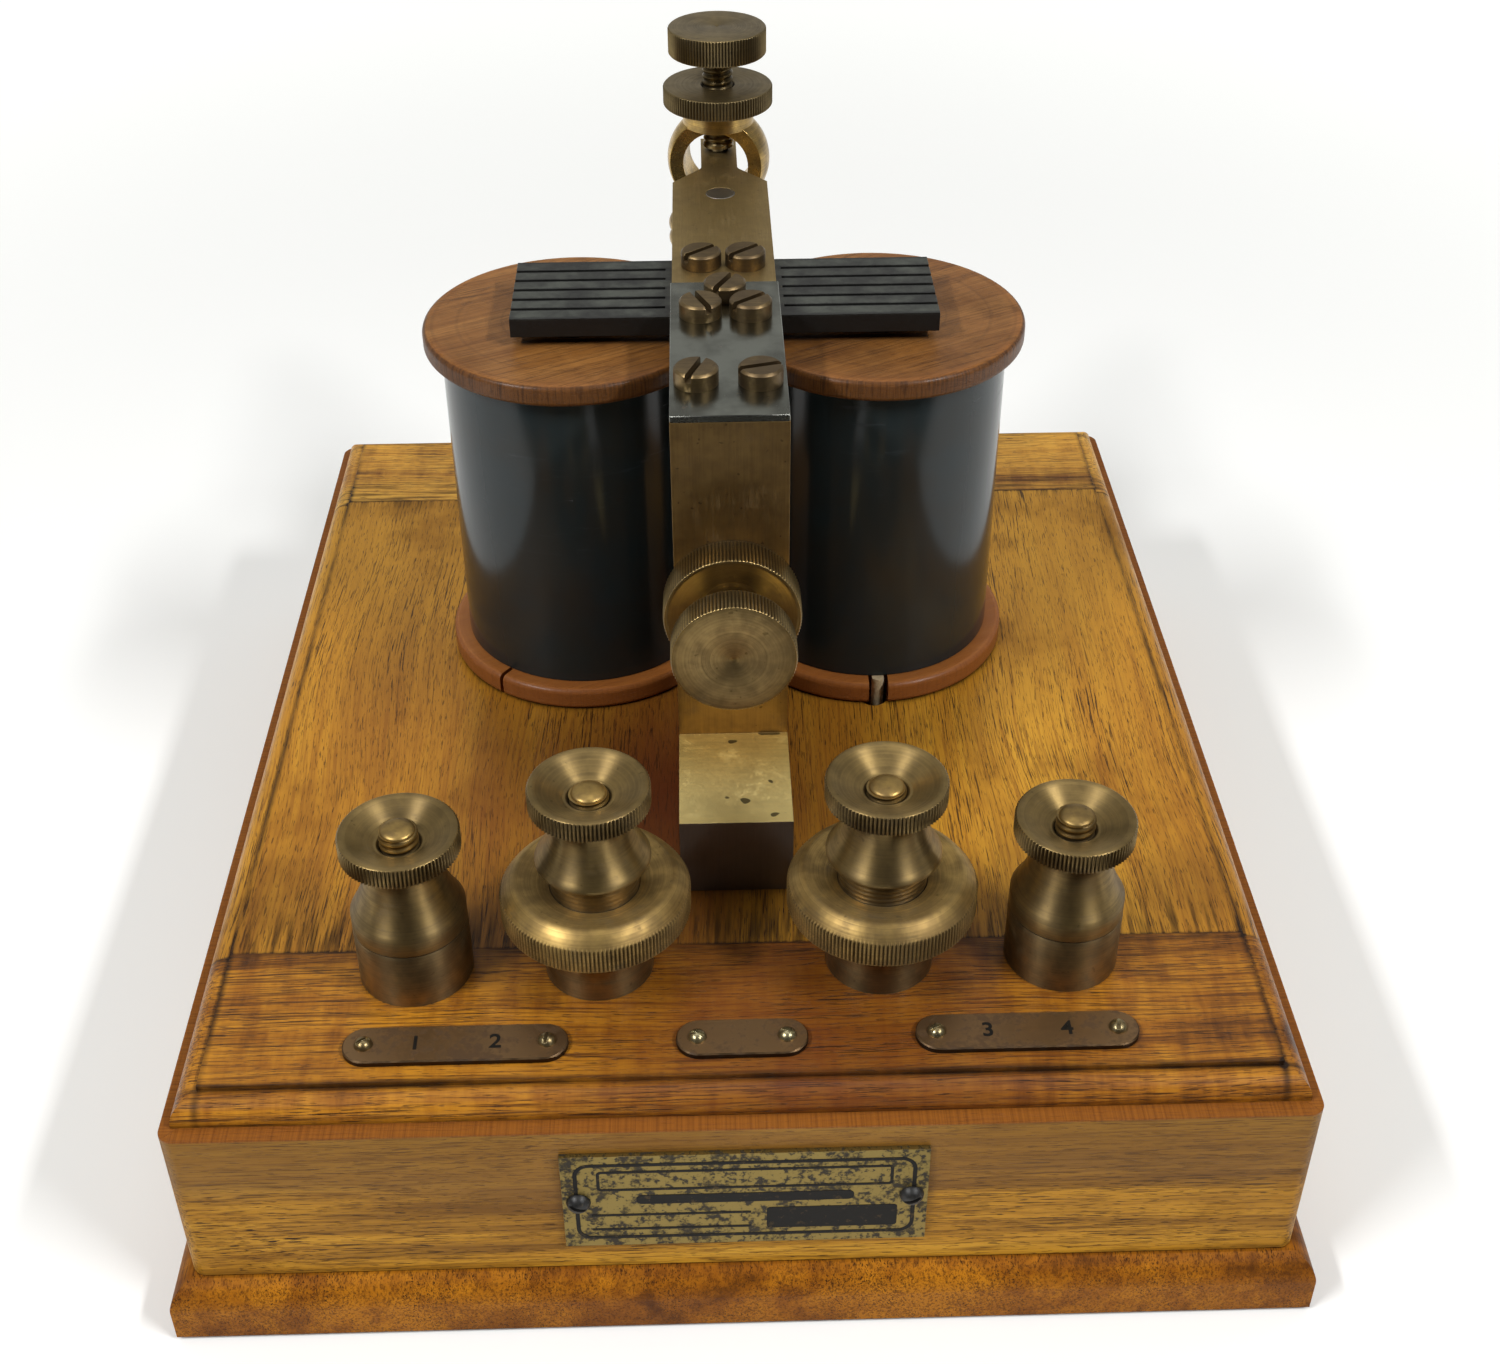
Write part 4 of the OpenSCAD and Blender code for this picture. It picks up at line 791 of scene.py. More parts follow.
@dataclass(frozen=True)
class Lacquer(Finish):
    """Black lacquered paper round a coil, with handling scuffs."""

    base: Colour = tint(33, 41, 43)
    warm: Colour = tint(37, 39, 37)
    scuff: Colour = tint(72, 78, 84)
    centre: Tuple[float, float] = (0.0, 0.0)
    scuffed: float = 0.5
    gloss: float = 0.15
    dusty_shade: Colour = tint(52, 34, 20)
    radius: float = 0.024
    lap_scale: Scale = (1400, 9, 1)
    scuff_scale: Scale = (60, 420, 1)
    patch_scale: float = 48
    cloud_scale: float = 70
    scuff_from: float = 0.072
    scuff_to: float = 0.106
    corner_reach: float = 0.003
    relief: float = 0.000006

    def paint(self, g: Graph) -> None:
        """Brown-black gloss, with level scuffs towards the top, fine upright laps, and painted shade with dust in
        the corners.
        """
        point = g.place()
        x, y, z = g.split(point)
        turn = g.calc("ARCTAN2", x - self.centre[0], y - self.centre[1])
        skin = g.join(turn * self.radius, z, 0.0)
        laps = g.noise(skin * self.lap_scale, detail=2)
        cloud = g.noise(point, self.cloud_scale, 3)
        colour = g.mix(g.smooth(cloud, 0.35, 0.7), self.base, self.warm)
        level = g.noise(skin * self.scuff_scale, detail=4, rough=0.7)
        high = g.smooth(z, self.scuff_from, self.scuff_to)
        patch = g.smooth(g.noise(point, self.patch_scale, 2), 0.45, 0.62)
        scuff = g.smooth(level, 0.56, 0.72) * patch * high * self.scuffed
        colour = g.mix(scuff * 0.5, colour, self.scuff)
        # painted shade with dust in the corners by the flanges
        dust_and_shade = g.smooth(g.crevice(self.corner_reach), 0.35, 0.9)
        colour = g.mix(dust_and_shade * 0.5, colour, self.dusty_shade)
        g.dress({
            "Base Color": colour,
            "Roughness": self.gloss + scuff * 0.3 + dust_and_shade * 0.25 + (cloud - 0.5) * 0.08,
            "Specular IOR Level": 0.33,
            "Normal": g.bump(laps + level * 0.3, self.relief, 0.5),
        })


@dataclass(frozen=True)
class Plate(Finish):
    """Bronzed or etched sheet with a smoked surface."""

    field_colour: Colour = tint(122, 92, 56)
    smoke: Colour = tint(66, 48, 28)
    speck: Colour = tint(30, 24, 16)
    rub: Colour = tint(186, 156, 100)
    smoked: float = 0.5
    specks: float = 0.3
    dense: float = 1.0
    grain: float = 620.0
    polish: float = 0.4
    # share of painted shade on the side faces
    shaded_sides: float = 0.0
    drawn_scale: Scale = (80, 2200, 2200)
    rub_scale: float = 380
    corner_reach: float = 0.0012
    relief: float = 0.00003

    def paint(self, g: Graph) -> None:
        """Smoky clouds and specks over a rubbed sheet, with painted shade in corners and on the side faces."""
        point = g.place()
        lines = g.noise(point * self.drawn_scale, detail=2)
        cloud = g.noise(point, self.grain / 4, 4, 0.65)
        fine = g.noise(point, self.grain, 3, 0.6)
        smoke = g.smooth(cloud + (fine - 0.5) * 0.6, 0.62 - self.smoked * 0.3, 0.82 - self.smoked * 0.3)
        colour = g.mix(smoke, self.field_colour, self.smoke)
        specked = g.smooth(fine + (cloud - 0.5) * 0.5, 0.66 - self.specks * 0.18, 0.74 - self.specks * 0.14)
        speck = specked * self.dense
        colour = g.mix(speck * 0.85, colour, self.speck)
        # painted shade in corners, in the speck colour
        corner = g.smooth(g.crevice(self.corner_reach), 0.3, 0.85)
        colour = g.mix(corner * 0.7, colour, self.speck)
        rubbed = g.mark(EDGE) * g.smooth(g.noise(point, self.rub_scale, 2), 0.4, 0.6)
        colour = g.mix(rubbed * 0.6, colour, self.rub)
        # painted shade on the side faces
        if self.shaded_sides:
            colour = g.mix(g.smooth(g.facing()[2], 0.9, 0.5) * self.shaded_sides, colour, self.speck)
        g.dress({
            "Base Color": colour,
            "Metallic": 0.9 - speck * 0.6 - smoke * 0.2,
            "Roughness": self.polish + smoke * 0.12 + speck * 0.2 + (lines - 0.5) * 0.1,
            "Normal": g.bump(lines * 0.5 - speck, self.relief, 0.6),
        })


@dataclass(frozen=True)
class Enamel(Finish):
    """Black filling of etched lines and numerals, worn thin."""

    base: Colour = tint(22, 20, 17)
    worn: Colour = tint(76, 62, 40)
    flake_scale: float = 900
    relief: float = 0.00003

    def paint(self, g: Graph) -> None:
        """Dull black that has lost flakes."""
        point = g.place()
        flakes = g.noise(point, self.flake_scale, 3, 0.65)
        lost = g.smooth(flakes, 0.58, 0.72)
        g.dress({
            "Base Color": g.mix(lost * 0.7, self.base, self.worn),
            "Roughness": 0.5 + lost * 0.15,
            "Specular IOR Level": 0.15,
            "Normal": g.bump(flakes, self.relief, 0.6),
        })


@dataclass(frozen=True)
class Braid(Finish):
    """Cotton braid of a lead, soiled."""

    base: Colour = tint(178, 158, 122)
    soil: Colour = tint(98, 76, 48)
    thread_scale: float = 2600
    soil_scale: float = 300
    corner_reach: float = 0.0006
    relief: float = 0.00008

    def paint(self, g: Graph) -> None:
        """Thread by thread variation, and painted shade with dirt between the threads."""
        point = g.place()
        thread = g.noise(point, self.thread_scale, 2)
        soil = g.smooth(g.noise(point, self.soil_scale, 3) + (thread - 0.5) * 0.4, 0.42, 0.7)
        # painted shade between the threads, in the soil colour
        between = g.smooth(g.crevice(self.corner_reach), 0.2, 0.7)
        colour = g.mix(soil * 0.6, self.base, self.soil)
        g.dress({
            "Base Color": g.mix(between * 0.8, colour, self.soil),
            "Roughness": 0.85 + (thread - 0.5) * 0.2,
            "Sheen Weight": 0.25,
            "Normal": g.bump(thread, self.relief, 0.8),
        })


@dataclass(frozen=True)
class Wire(Finish):
    """Enamelled wire, laid turn by turn."""

    base: Colour = tint(150, 84, 44)
    shade: Colour = tint(78, 40, 22)
    pitch: float = 0.0006
    cloud_scale: float = 240

    def paint(self, g: Graph) -> None:
        """Round turns one above the other, with painted shade between them and uneven enamel."""
        point = g.place()
        _, _, z = g.split(point)
        turns = g.calc("PINGPONG", z, self.pitch / 2) * (2 / self.pitch)
        cloud = g.noise(point, self.cloud_scale, 3)
        # painted shade between the turns
        colour = g.mix(1.0 - turns, self.base, self.shade)
        g.dress({
            "Base Color": g.mix(g.smooth(cloud, 0.4, 0.7) * 0.5, colour, self.shade),
            "Metallic": 0.7,
            "Roughness": 0.34 + (cloud - 0.5) * 0.2,
            "Normal": g.bump(turns, self.pitch * 0.4, 1.0),
        })


@dataclass(frozen=True)
class Paper(Finish):
    """Pale paper of the floor."""

    base: Colour = (0.93, 0.935, 0.925)
    shade: Colour = (0.9, 0.9, 0.89)
    glow: Colour = (0.34, 0.35, 0.34)
    glow_from: float = 0.25
    glow_to: float = 0.75
    cloud_scale: float = 3.0

    def paint(self, g: Graph) -> None:
        """Faint clouds, and a glow that begins away from the part."""
        reach = g.smooth(g.length(g.place()), self.glow_from, self.glow_to)
        g.dress({
            "Base Color": g.mix(g.noise(g.place(), self.cloud_scale, 2), self.base, self.shade),
            "Roughness": 0.9,
            "Emission Color": g.mix(reach, 0.0, self.glow),
            "Emission Strength": 1.0,
        })


@dataclass(frozen=True)
class BlackCard(Finish):
    """Dull black card of the flags."""

    base: Colour = (0.03, 0.028, 0.026)
    worn: Colour = (0.05, 0.047, 0.044)
    weave_scale: float = 400

    def paint(self, g: Graph) -> None:
        """An even black with a faint weave."""
        weave = g.noise(g.place(), self.weave_scale, 2)
        g.dress({"Base Color": g.mix(weave, self.base, self.worn), "Roughness": 0.95})


def ring_point(place: Matrix, radius: float, angle: float, height: float) -> Vector:
    """A point of a turned piece in the part's frame, its radius and height in mm."""
    return place @ Vector((radius * MM * math.cos(angle), radius * MM * math.sin(angle), height * MM))


def bridge(
    bm: bmesh.types.BMesh, ring: Sequence[bmesh.types.BMVert], following: Sequence[bmesh.types.BMVert]
) -> List[bmesh.types.BMFace]:
    """Joins two closed rings of points, point by point.

    Args:
        bm: the mesh they belong to.
        ring, following: the rings, with as many points each.

    Returns:
        The new faces, in the order of the points.
    """
    after = [(k + 1) % len(ring) for k in range(len(ring))]
    return [bm.faces.new((ring[k], ring[n], following[n], following[k])) for k, n in enumerate(after)]


def keep(
    bm: bmesh.types.BMesh, name: str, smooth_angle: float = SMOOTH_ANGLE, outward: bool = False
) -> bpy.types.Object:
    """Turns a built mesh into an object with smooth faces and sharp arrises.

    Args:
        bm: the mesh, which is freed.
        name: the piece's name.
        smooth_angle: arrises sharper than this stay sharp.
        outward: whether its faces are first turned to face outwards.

    Returns:
        The object, in the scene.
    """
    if outward:
        bmesh.ops.recalc_face_normals(bm, faces=bm.faces)
    mesh = bpy.data.meshes.new(name)
    bm.to_mesh(mesh)
    bm.free()
    mesh.polygons.foreach_set("use_smooth", [True] * len(mesh.polygons))
    mesh.set_sharp_from_angle(angle=smooth_angle)
    made = bpy.data.objects.new(name, mesh)
    bpy.context.scene.collection.objects.link(made)
    return made


def dress_piece(piece: bpy.types.Object, finish: Finish, node: str, stands_for: bool = True) -> None:
    """Gives a piece its finish and its body, and hides the solid that it replaces.

    Args:
        piece: the object.
        finish: its finish.
        node: the solid that gives its body.
        stands_for: whether the piece replaces that solid, or is added to it.
    """
    piece.data.materials.append(finish.material())
    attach(piece, BODY_OF[node])
    if stands_for:
        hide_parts(node)
    LOG.info("%s in %s on %s", piece.name, finish.name, BODY_OF[node])


def paint_solid(node: str, finish: Finish) -> None:
    """Gives a solid that stays as it is its finish.

    Args:
        node: the solid's name.
        finish: its finish.
    """
    mesh = frame["nodes"][node].data
    mesh.materials.clear()
    mesh.materials.append(finish.material())
    LOG.info("%s in %s", node, finish.name)


def eased_copy(node: str, width: float, segments: int = 2, sharp: float = SHARP_ANGLE) -> bmesh.types.BMesh:
    """The mesh of a solid with eased arrises.

    Args:
        node: the solid's name.
        width: width of the easing, in mm.
        segments: facets across the easing.
        sharp: arrises sharper than this many degrees are eased.

    Returns:
        The mesh, its easings marked EDGE.
    """
    bm = bmesh.new()
    bm.from_mesh(frame["nodes"][node].data)
    bmesh.ops.remove_doubles(bm, verts=bm.verts, dist=2e-6)
    bmesh.ops.dissolve_limit(bm, angle_limit=math.radians(0.3), verts=bm.verts, edges=bm.edges)
    layer = bm.faces.layers.float.new(EDGE)
    arrises = [e for e in bm.edges if len(e.link_faces) == 2 and e.calc_face_angle() > math.radians(sharp)]
    eased = bmesh.ops.bevel(
        bm, geom=arrises, offset=width * MM, offset_type="OFFSET", segments=segments, profile=0.5,
        affect="EDGES", clamp_overlap=True,
    )
    for face in eased["faces"]:
        face[layer] = 1.0
    return bm


def softened(node: str, width: float, finish: Finish, segments: int = 2, sharp: float = SHARP_ANGLE) -> None:
    """A copy of a solid with eased arrises, in its place.

    Args:
        node: the solid's name.
        width: width of the easing, in mm.
        finish: its finish.
        segments: facets across the easing.
        sharp: arrises sharper than this many degrees are eased.
    """
    piece = keep(eased_copy(node, width, segments, sharp), node + "_eased")
    weights = piece.modifiers.new("face weights", "WEIGHTED_NORMAL")
    weights.keep_sharp = True
    dress_piece(piece, finish, node)


@dataclass(frozen=True)
class Corner:
    """A corner of a turned profile, in mm."""

    radius: float
    height: float
    ease: float = 0.0
    mill: float = 0.0


def rounded(start: Vector, corner: Vector, end: Vector, steps: int) -> List[Vector]:
    """Points of a curve that rounds a corner, its two ends among them."""
    shares = [k / steps for k in range(steps + 1)]
    return [start * (1 - t) ** 2 + corner * (2 * t * (1 - t)) + end * t * t for t in shares]


def eased_profile(corners: Sequence[Corner]) -> List[Tuple[float, float, float, bool]]:
    """Rounds the corners of a closed profile.

    Args:
        corners: the profile, in order.

    Returns:
        Points of (radius, height, depth of milling, on an arris).
    """
    points: List[Tuple[float, float, float, bool]] = []
    for i, corner in enumerate(corners):
        here = Vector((corner.radius, corner.height))
        if corner.ease <= 0:
            points.append((here.x, here.y, corner.mill, False))
            continue
        before = Vector((corners[i - 1].radius, corners[i - 1].height)) - here
        after_corner = corners[(i + 1) % len(corners)]
        after = Vector((after_corner.radius, after_corner.height)) - here
        start = here + before.normalized() * min(corner.ease, before.length * EASE_SHARE)
        end = here + after.normalized() * min(corner.ease, after.length * EASE_SHARE)
        points += [(p.x, p.y, corner.mill, True) for p in rounded(start, here, end, EASE_STEPS)]
    return points


def turned(
    name: str, corners: Sequence[Corner], place: Matrix, teeth: int = 0, steps: int = 112
) -> bpy.types.Object:
    """A lathe-turned piece with milled bands.

    Args:
        name: the piece's name.
        corners: its closed profile, in mm.
        place: from the lathe's frame, in metres, to the part's.
        teeth: teeth of the milled bands.
        steps: facets round a piece without teeth.

    Returns:
        The object.
    """
    points = eased_profile(corners)
    count = teeth * 4 if teeth else steps
    bm = bmesh.new()
    layer = bm.faces.layers.float.new(EDGE)
    depth = bm.verts.layers.float.new(MILL)
    rings = []
    for radius, height, mill, _ in points:
        ring = []
        for k in range(count):
            angle = 2 * math.pi * k / count
            groove = 0.5 - 0.5 * math.cos(teeth * angle) if mill else 0.0
            ring.append(bm.verts.new(ring_point(place, radius - mill * groove, angle, height)))
            # groove share, which the finish paints as shade
            ring[-1][depth] = groove
        rings.append(ring)
    for i, ring in enumerate(rings):
        j = (i + 1) % len(rings)
        if points[i][0] < ON_AXIS and points[j][0] < ON_AXIS:
            continue
        worn = 1.0 if points[i][3] and points[j][3] else 0.0
        for face in bridge(bm, ring, rings[j]):
            face[layer] = worn
    bmesh.ops.remove_doubles(bm, verts=bm.verts, dist=1e-7)
    return keep(bm, name, TURNED_SMOOTH, outward=True)


@dataclass(frozen=True)
class Thread:
    """A screw thread, in mm."""

    radius: float
    depth: float
    pitch: float
    rows: int = 6
    sides: int = 40
    dome_steps: int = 8
    dome_tip: float = 0.02
    dome_fullness: float = 0.7
    groove_shade_depth: float = 0.4

    def rod(self, node: str, finish: Finish, place: Matrix, start: float, end: float) -> None:
        """Makes and dresses a threaded rod.

        Args:
            node: the solid it stands for.
            finish: its finish.
            place: from the rod's frame, in metres, to the part's.
            start, end: heights of its ends.
        """
        bm = bmesh.new()
        self.build(bm, place, start, end)
        dress_piece(keep(bm, node + "_thread", THREAD_SMOOTH, outward=True), finish, node)

    def build(
        self, bm: bmesh.types.BMesh, place: Matrix, start: float, end: float, bore: float = 0.0,
        dome: float = 0.0, plain: float = 0.0,
    ) -> None:
        """Adds a threaded rod or tube.

        Args:
            bm: the mesh it goes into.
            place: from the rod's frame, in metres, to the part's.
            start, end: heights of its ends.
            bore: radius of a hole through it.
            dome: height of a rounded end.
            plain: length without thread at the start.
        """
        span = end - start
        heights = [start, start + plain] if plain else [start]
        count = max(2, int((span - plain - dome) / self.pitch * self.rows))
        low = heights[-1]
        heights += [low + (end - dome - low) * (i + 1) / count for i in range(count)]
        shrink = [1.0] * len(heights)
        if dome:
            root = 1.0 - self.depth / self.radius
            for i in range(self.dome_steps + 1):
                a = math.pi / 2 * i / self.dome_steps
                heights.append(end - dome + dome * math.sin(a))
                shrink.append(max(self.dome_tip, root * math.cos(a) ** self.dome_fullness))
        rings = []
        turns = [2 * math.pi * k / self.sides for k in range(self.sides)]
        layer = bm.verts.layers.float.get(MILL) or bm.verts.layers.float.new(MILL)
        for h, s in zip(heights, shrink):
            fade = min(1.0, max(0.0, (h - start - plain) / self.pitch)) if s == 1.0 else 0.0
            ring = []
            for k, angle in enumerate(turns):
                phase = (h / self.pitch - k / self.sides) % 1.0
                groove = self.depth * fade * (1.0 - abs(2.0 * phase - 1.0))
                ring.append(bm.verts.new(ring_point(place, (self.radius - groove) * s, angle, h)))
                # groove share, which the finish paints as shade
                ring[-1][layer] = min(1.0, groove / self.groove_shade_depth)
            rings.append(ring)
        if bore:
            for h in (end, start):
                rings.append([bm.verts.new(ring_point(place, bore, angle, h)) for angle in turns])
            rings.append(rings[0])
        else:
            bm.faces.new(list(reversed(rings[0])))
            bm.faces.new(rings[-1])
        for ring, following in zip(rings, rings[1:]):
            bridge(bm, ring, following)


def upright(x: float, y: float, z: float) -> Matrix:
    """A lathe frame that stands at a point, in metres."""
    return Matrix.Translation((x, y, z))


def facing_front(x: float, y: float, z: float) -> Matrix:
    """A lathe frame at a point, in metres, whose axis points to the front."""
    return Matrix(((1, 0, 0, x), (0, 0, -1, y), (0, 1, 0, z), (0, 0, 0, 1)))


def size_of(node: str) -> Tuple[Vector, Vector, Vector]:
    """Lowest corner, highest corner and middle of a solid, in metres."""
    low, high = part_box(node)
    return low, high, (low + high) / 2


@dataclass
class WoodenBox:
    """Base board, walls and the cleated lid."""

    board_ease: float = 1.3
    wall_ease: float = 0.35
    lid_ease: float = 0.35
    moulding: float = 3.9
    band: float = 0.3

    def build(self) -> None:
        """Makes and dresses the box."""
        self.board()
        self.walls()
        self.lid()
        paint_solid("base_screws", Steel("base screw steel", rusted=0.8, polish=0.4))

    def board(self) -> None:
        """The base board with its nosing."""
        wood = Wood(
            "board wood", Axis.Y, pale=tint(170, 108, 22), honey=tint(134, 79, 16), deep=tint(82, 45, 12),
            figure=0.6, stains=0.75, fibres=0.7, seed=3.1, gloss=0.08, coat=0.0,
        )
        softened("base_board", self.board_ease, wood, 3)

    def walls(self) -> None:
        """The four mitred walls."""
        for node, axis, seed in (("front_wall", Axis.X, 0.4), ("rear_wall", Axis.X, 5.3),
                                 ("left_wall", Axis.Y, 1.9), ("right_wall", Axis.Y, 7.7)):
            wood = Wood(
                node + " wood", axis, pale=tint(196, 146, 46), honey=tint(174, 123, 32), deep=tint(112, 74, 20),
                stains=0.35, pores=1.0, fibres=0.75, streaks=0.7, seed=seed, gloss=0.12, coat=0.05,
                band=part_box(node)[1].z - self.band * MM,
            )
            softened(node, self.wall_ease, wood)

    def lid(self) -> None:
        """The panel and its two cleats."""
        low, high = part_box("front_cleat")
        joints = (high.y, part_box("rear_cleat")[0].y)
        quirk = (high.x - self.moulding * MM, -low.y - self.moulding * MM)
        panel = Wood(
            "panel wood", Axis.Y, pale=tint(200, 146, 42), honey=tint(174, 118, 30), seed=2.2, stains=0.5,
            streaks=0.36, joints=joints, quirk=quirk, shade_and_stain=1.0, dark_red=tint(84, 40, 17),
            shade_and_stain_at=(-0.012, -0.034), painted_rear_light=0.5,
        )
        front = Wood(
            "front cleat wood", Axis.X, pale=tint(178, 119, 30), honey=tint(142, 87, 20), deep=tint(84, 47, 13),
            figure=0.6, stains=0.6, fibres=0.8, seed=4.6, joints=joints[:1], quirk=quirk, shade_and_stain=0.8,
            shade_and_stain_at=(0.012, -0.09), shade_and_stain_reach=0.08,
        )
        # painted light in part: lighter colours than the panel's, lifting the weaker light at the back
        rear = Wood(
            "rear cleat wood", Axis.X, pale=tint(222, 168, 66), honey=tint(204, 147, 52), figure=0.35,
            stains=0.3, seed=8.8, joints=joints[1:], quirk=quirk,
        )
        for node, wood in (("lid_panel", panel), ("front_cleat", front), ("rear_cleat", rear)):
            softened(node, self.lid_ease, wood)


@dataclass
class Magnet:
    """Two coils with their bobbins, covers, cores and wiring."""

    flange_ease: float = 0.35
    cover_ease: float = 0.12
    lead_radius: float = 1.2
    lead_slack: float = 0.05
    bend: float = 5.0
    bend_steps: int = 10
    braid_step: float = 0.35
    braid_sides: int = 24
    braid_pitch: float = 0.9
    braid_lay: float = 1.6
    braid_strands: int = 3
    braid_root: float = 0.87

    def build(self) -> None:
        """Makes and dresses the coils."""
        for side, seed, scuffed in (("left", 0.7, 1.0), ("right", 6.1, 0.45)):
            self.coil(side, seed, scuffed)
        iron = BlackIron("core iron", base=tint(84, 80, 76), worn=tint(140, 136, 128), matt=0.4)
        for node in ("left_core", "right_core", "yoke"):
            paint_solid(node, iron)
        paint_solid("core_screws", Steel("core screw steel", polish=0.36))
        self.lead()
        paint_solid("wiring", Wire("wiring copper", pitch=0.002))

    def coil(self, side: str, seed: float, scuffed: float) -> None:
        """One coil.

        Args:
            side: left or right.
            seed: shifts the grain.
            scuffed: how scuffed its cover is.
        """
        _, _, middle = size_of(side + "_cover")
        wood = FlangeWood(
            side + " bobbin wood", Axis.X, figure=0.2, stains=0.55, pores=0.5, seed=seed, coat_roughness=0.26,
            coat=0.1, slant=28.0, centre=(middle.x, middle.y),
        )
        softened(side + "_bobbin", self.flange_ease, wood, 3)
        cover = Lacquer(side + " cover lacquer", centre=(middle.x, middle.y), scuffed=scuffed)
        softened(side + "_cover", self.cover_ease, cover)
        paint_solid(side + "_winding", Wire(side + " winding copper"))

    def route(self) -> List[Vector]:
        """The lead's centre line from the coil to its post, bends rounded, in metres."""
        low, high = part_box("coil_lead")
        r = (self.lead_radius + self.lead_slack) * MM
        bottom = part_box("post_studs")[0].z
        knots = [
            Vector((low.x + r, high.y - r, high.z)), Vector((low.x + r, high.y - r, low.z + r)),
            Vector((high.x - r, low.y + r, low.z + r)), Vector((high.x - r, low.y + r, bottom)),
        ]
        line = [knots[0]]
        for before, here, after in zip(knots, knots[1:], knots[2:]):
            start = here + (before - here).normalized() * self.bend * MM
            end = here + (after - here).normalized() * self.bend * MM
            line += rounded(start, here, end, self.bend_steps)
        return line + [knots[-1]]

    def lead(self) -> None:
        """The cloth-covered lead, with its crossed braid."""
        line = self.route()
        spots = [line[0]]
        for a, b in zip(line, line[1:]):
            pieces = max(1, int((b - a).length / (self.braid_step * MM)))
            spots += [a.lerp(b, (i + 1) / pieces) for i in range(pieces)]
        bm = bmesh.new()
        travel, side_way, rings = 0.0, Vector((1, 0, 0)), []
        turns = [2 * math.pi * k / self.braid_sides for k in range(self.braid_sides)]
        for i, spot in enumerate(spots):
            ahead = (spots[min(i + 1, len(spots) - 1)] - spots[max(i - 1, 0)]).normalized()
            side_way = (side_way - ahead * side_way.dot(ahead)).normalized()
            up_way = ahead.cross(side_way)
            travel += (spot - spots[i - 1]).length if i else 0.0
            lay = travel / (self.braid_pitch * MM) * self.braid_lay
            ring = []
            for a in turns:
                strand = self.braid_strands * a
                weave = max(abs(math.sin(strand + lay)), abs(math.sin(strand - lay)))
                r = self.lead_radius * MM * (self.braid_root + (1 - self.braid_root) * weave)
                ring.append(bm.verts.new(spot + (side_way * math.cos(a) + up_way * math.sin(a)) * r))
            rings.append(ring)
        for ring, following in zip(rings, rings[1:]):
            bridge(bm, ring, following)
        bm.faces.new(rings[0])
        bm.faces.new(list(reversed(rings[-1])))
        braid = keep(bm, "coil_lead_braid", BRAID_SMOOTH, outward=True)
        dress_piece(braid, Braid("lead braid"), "coil_lead")


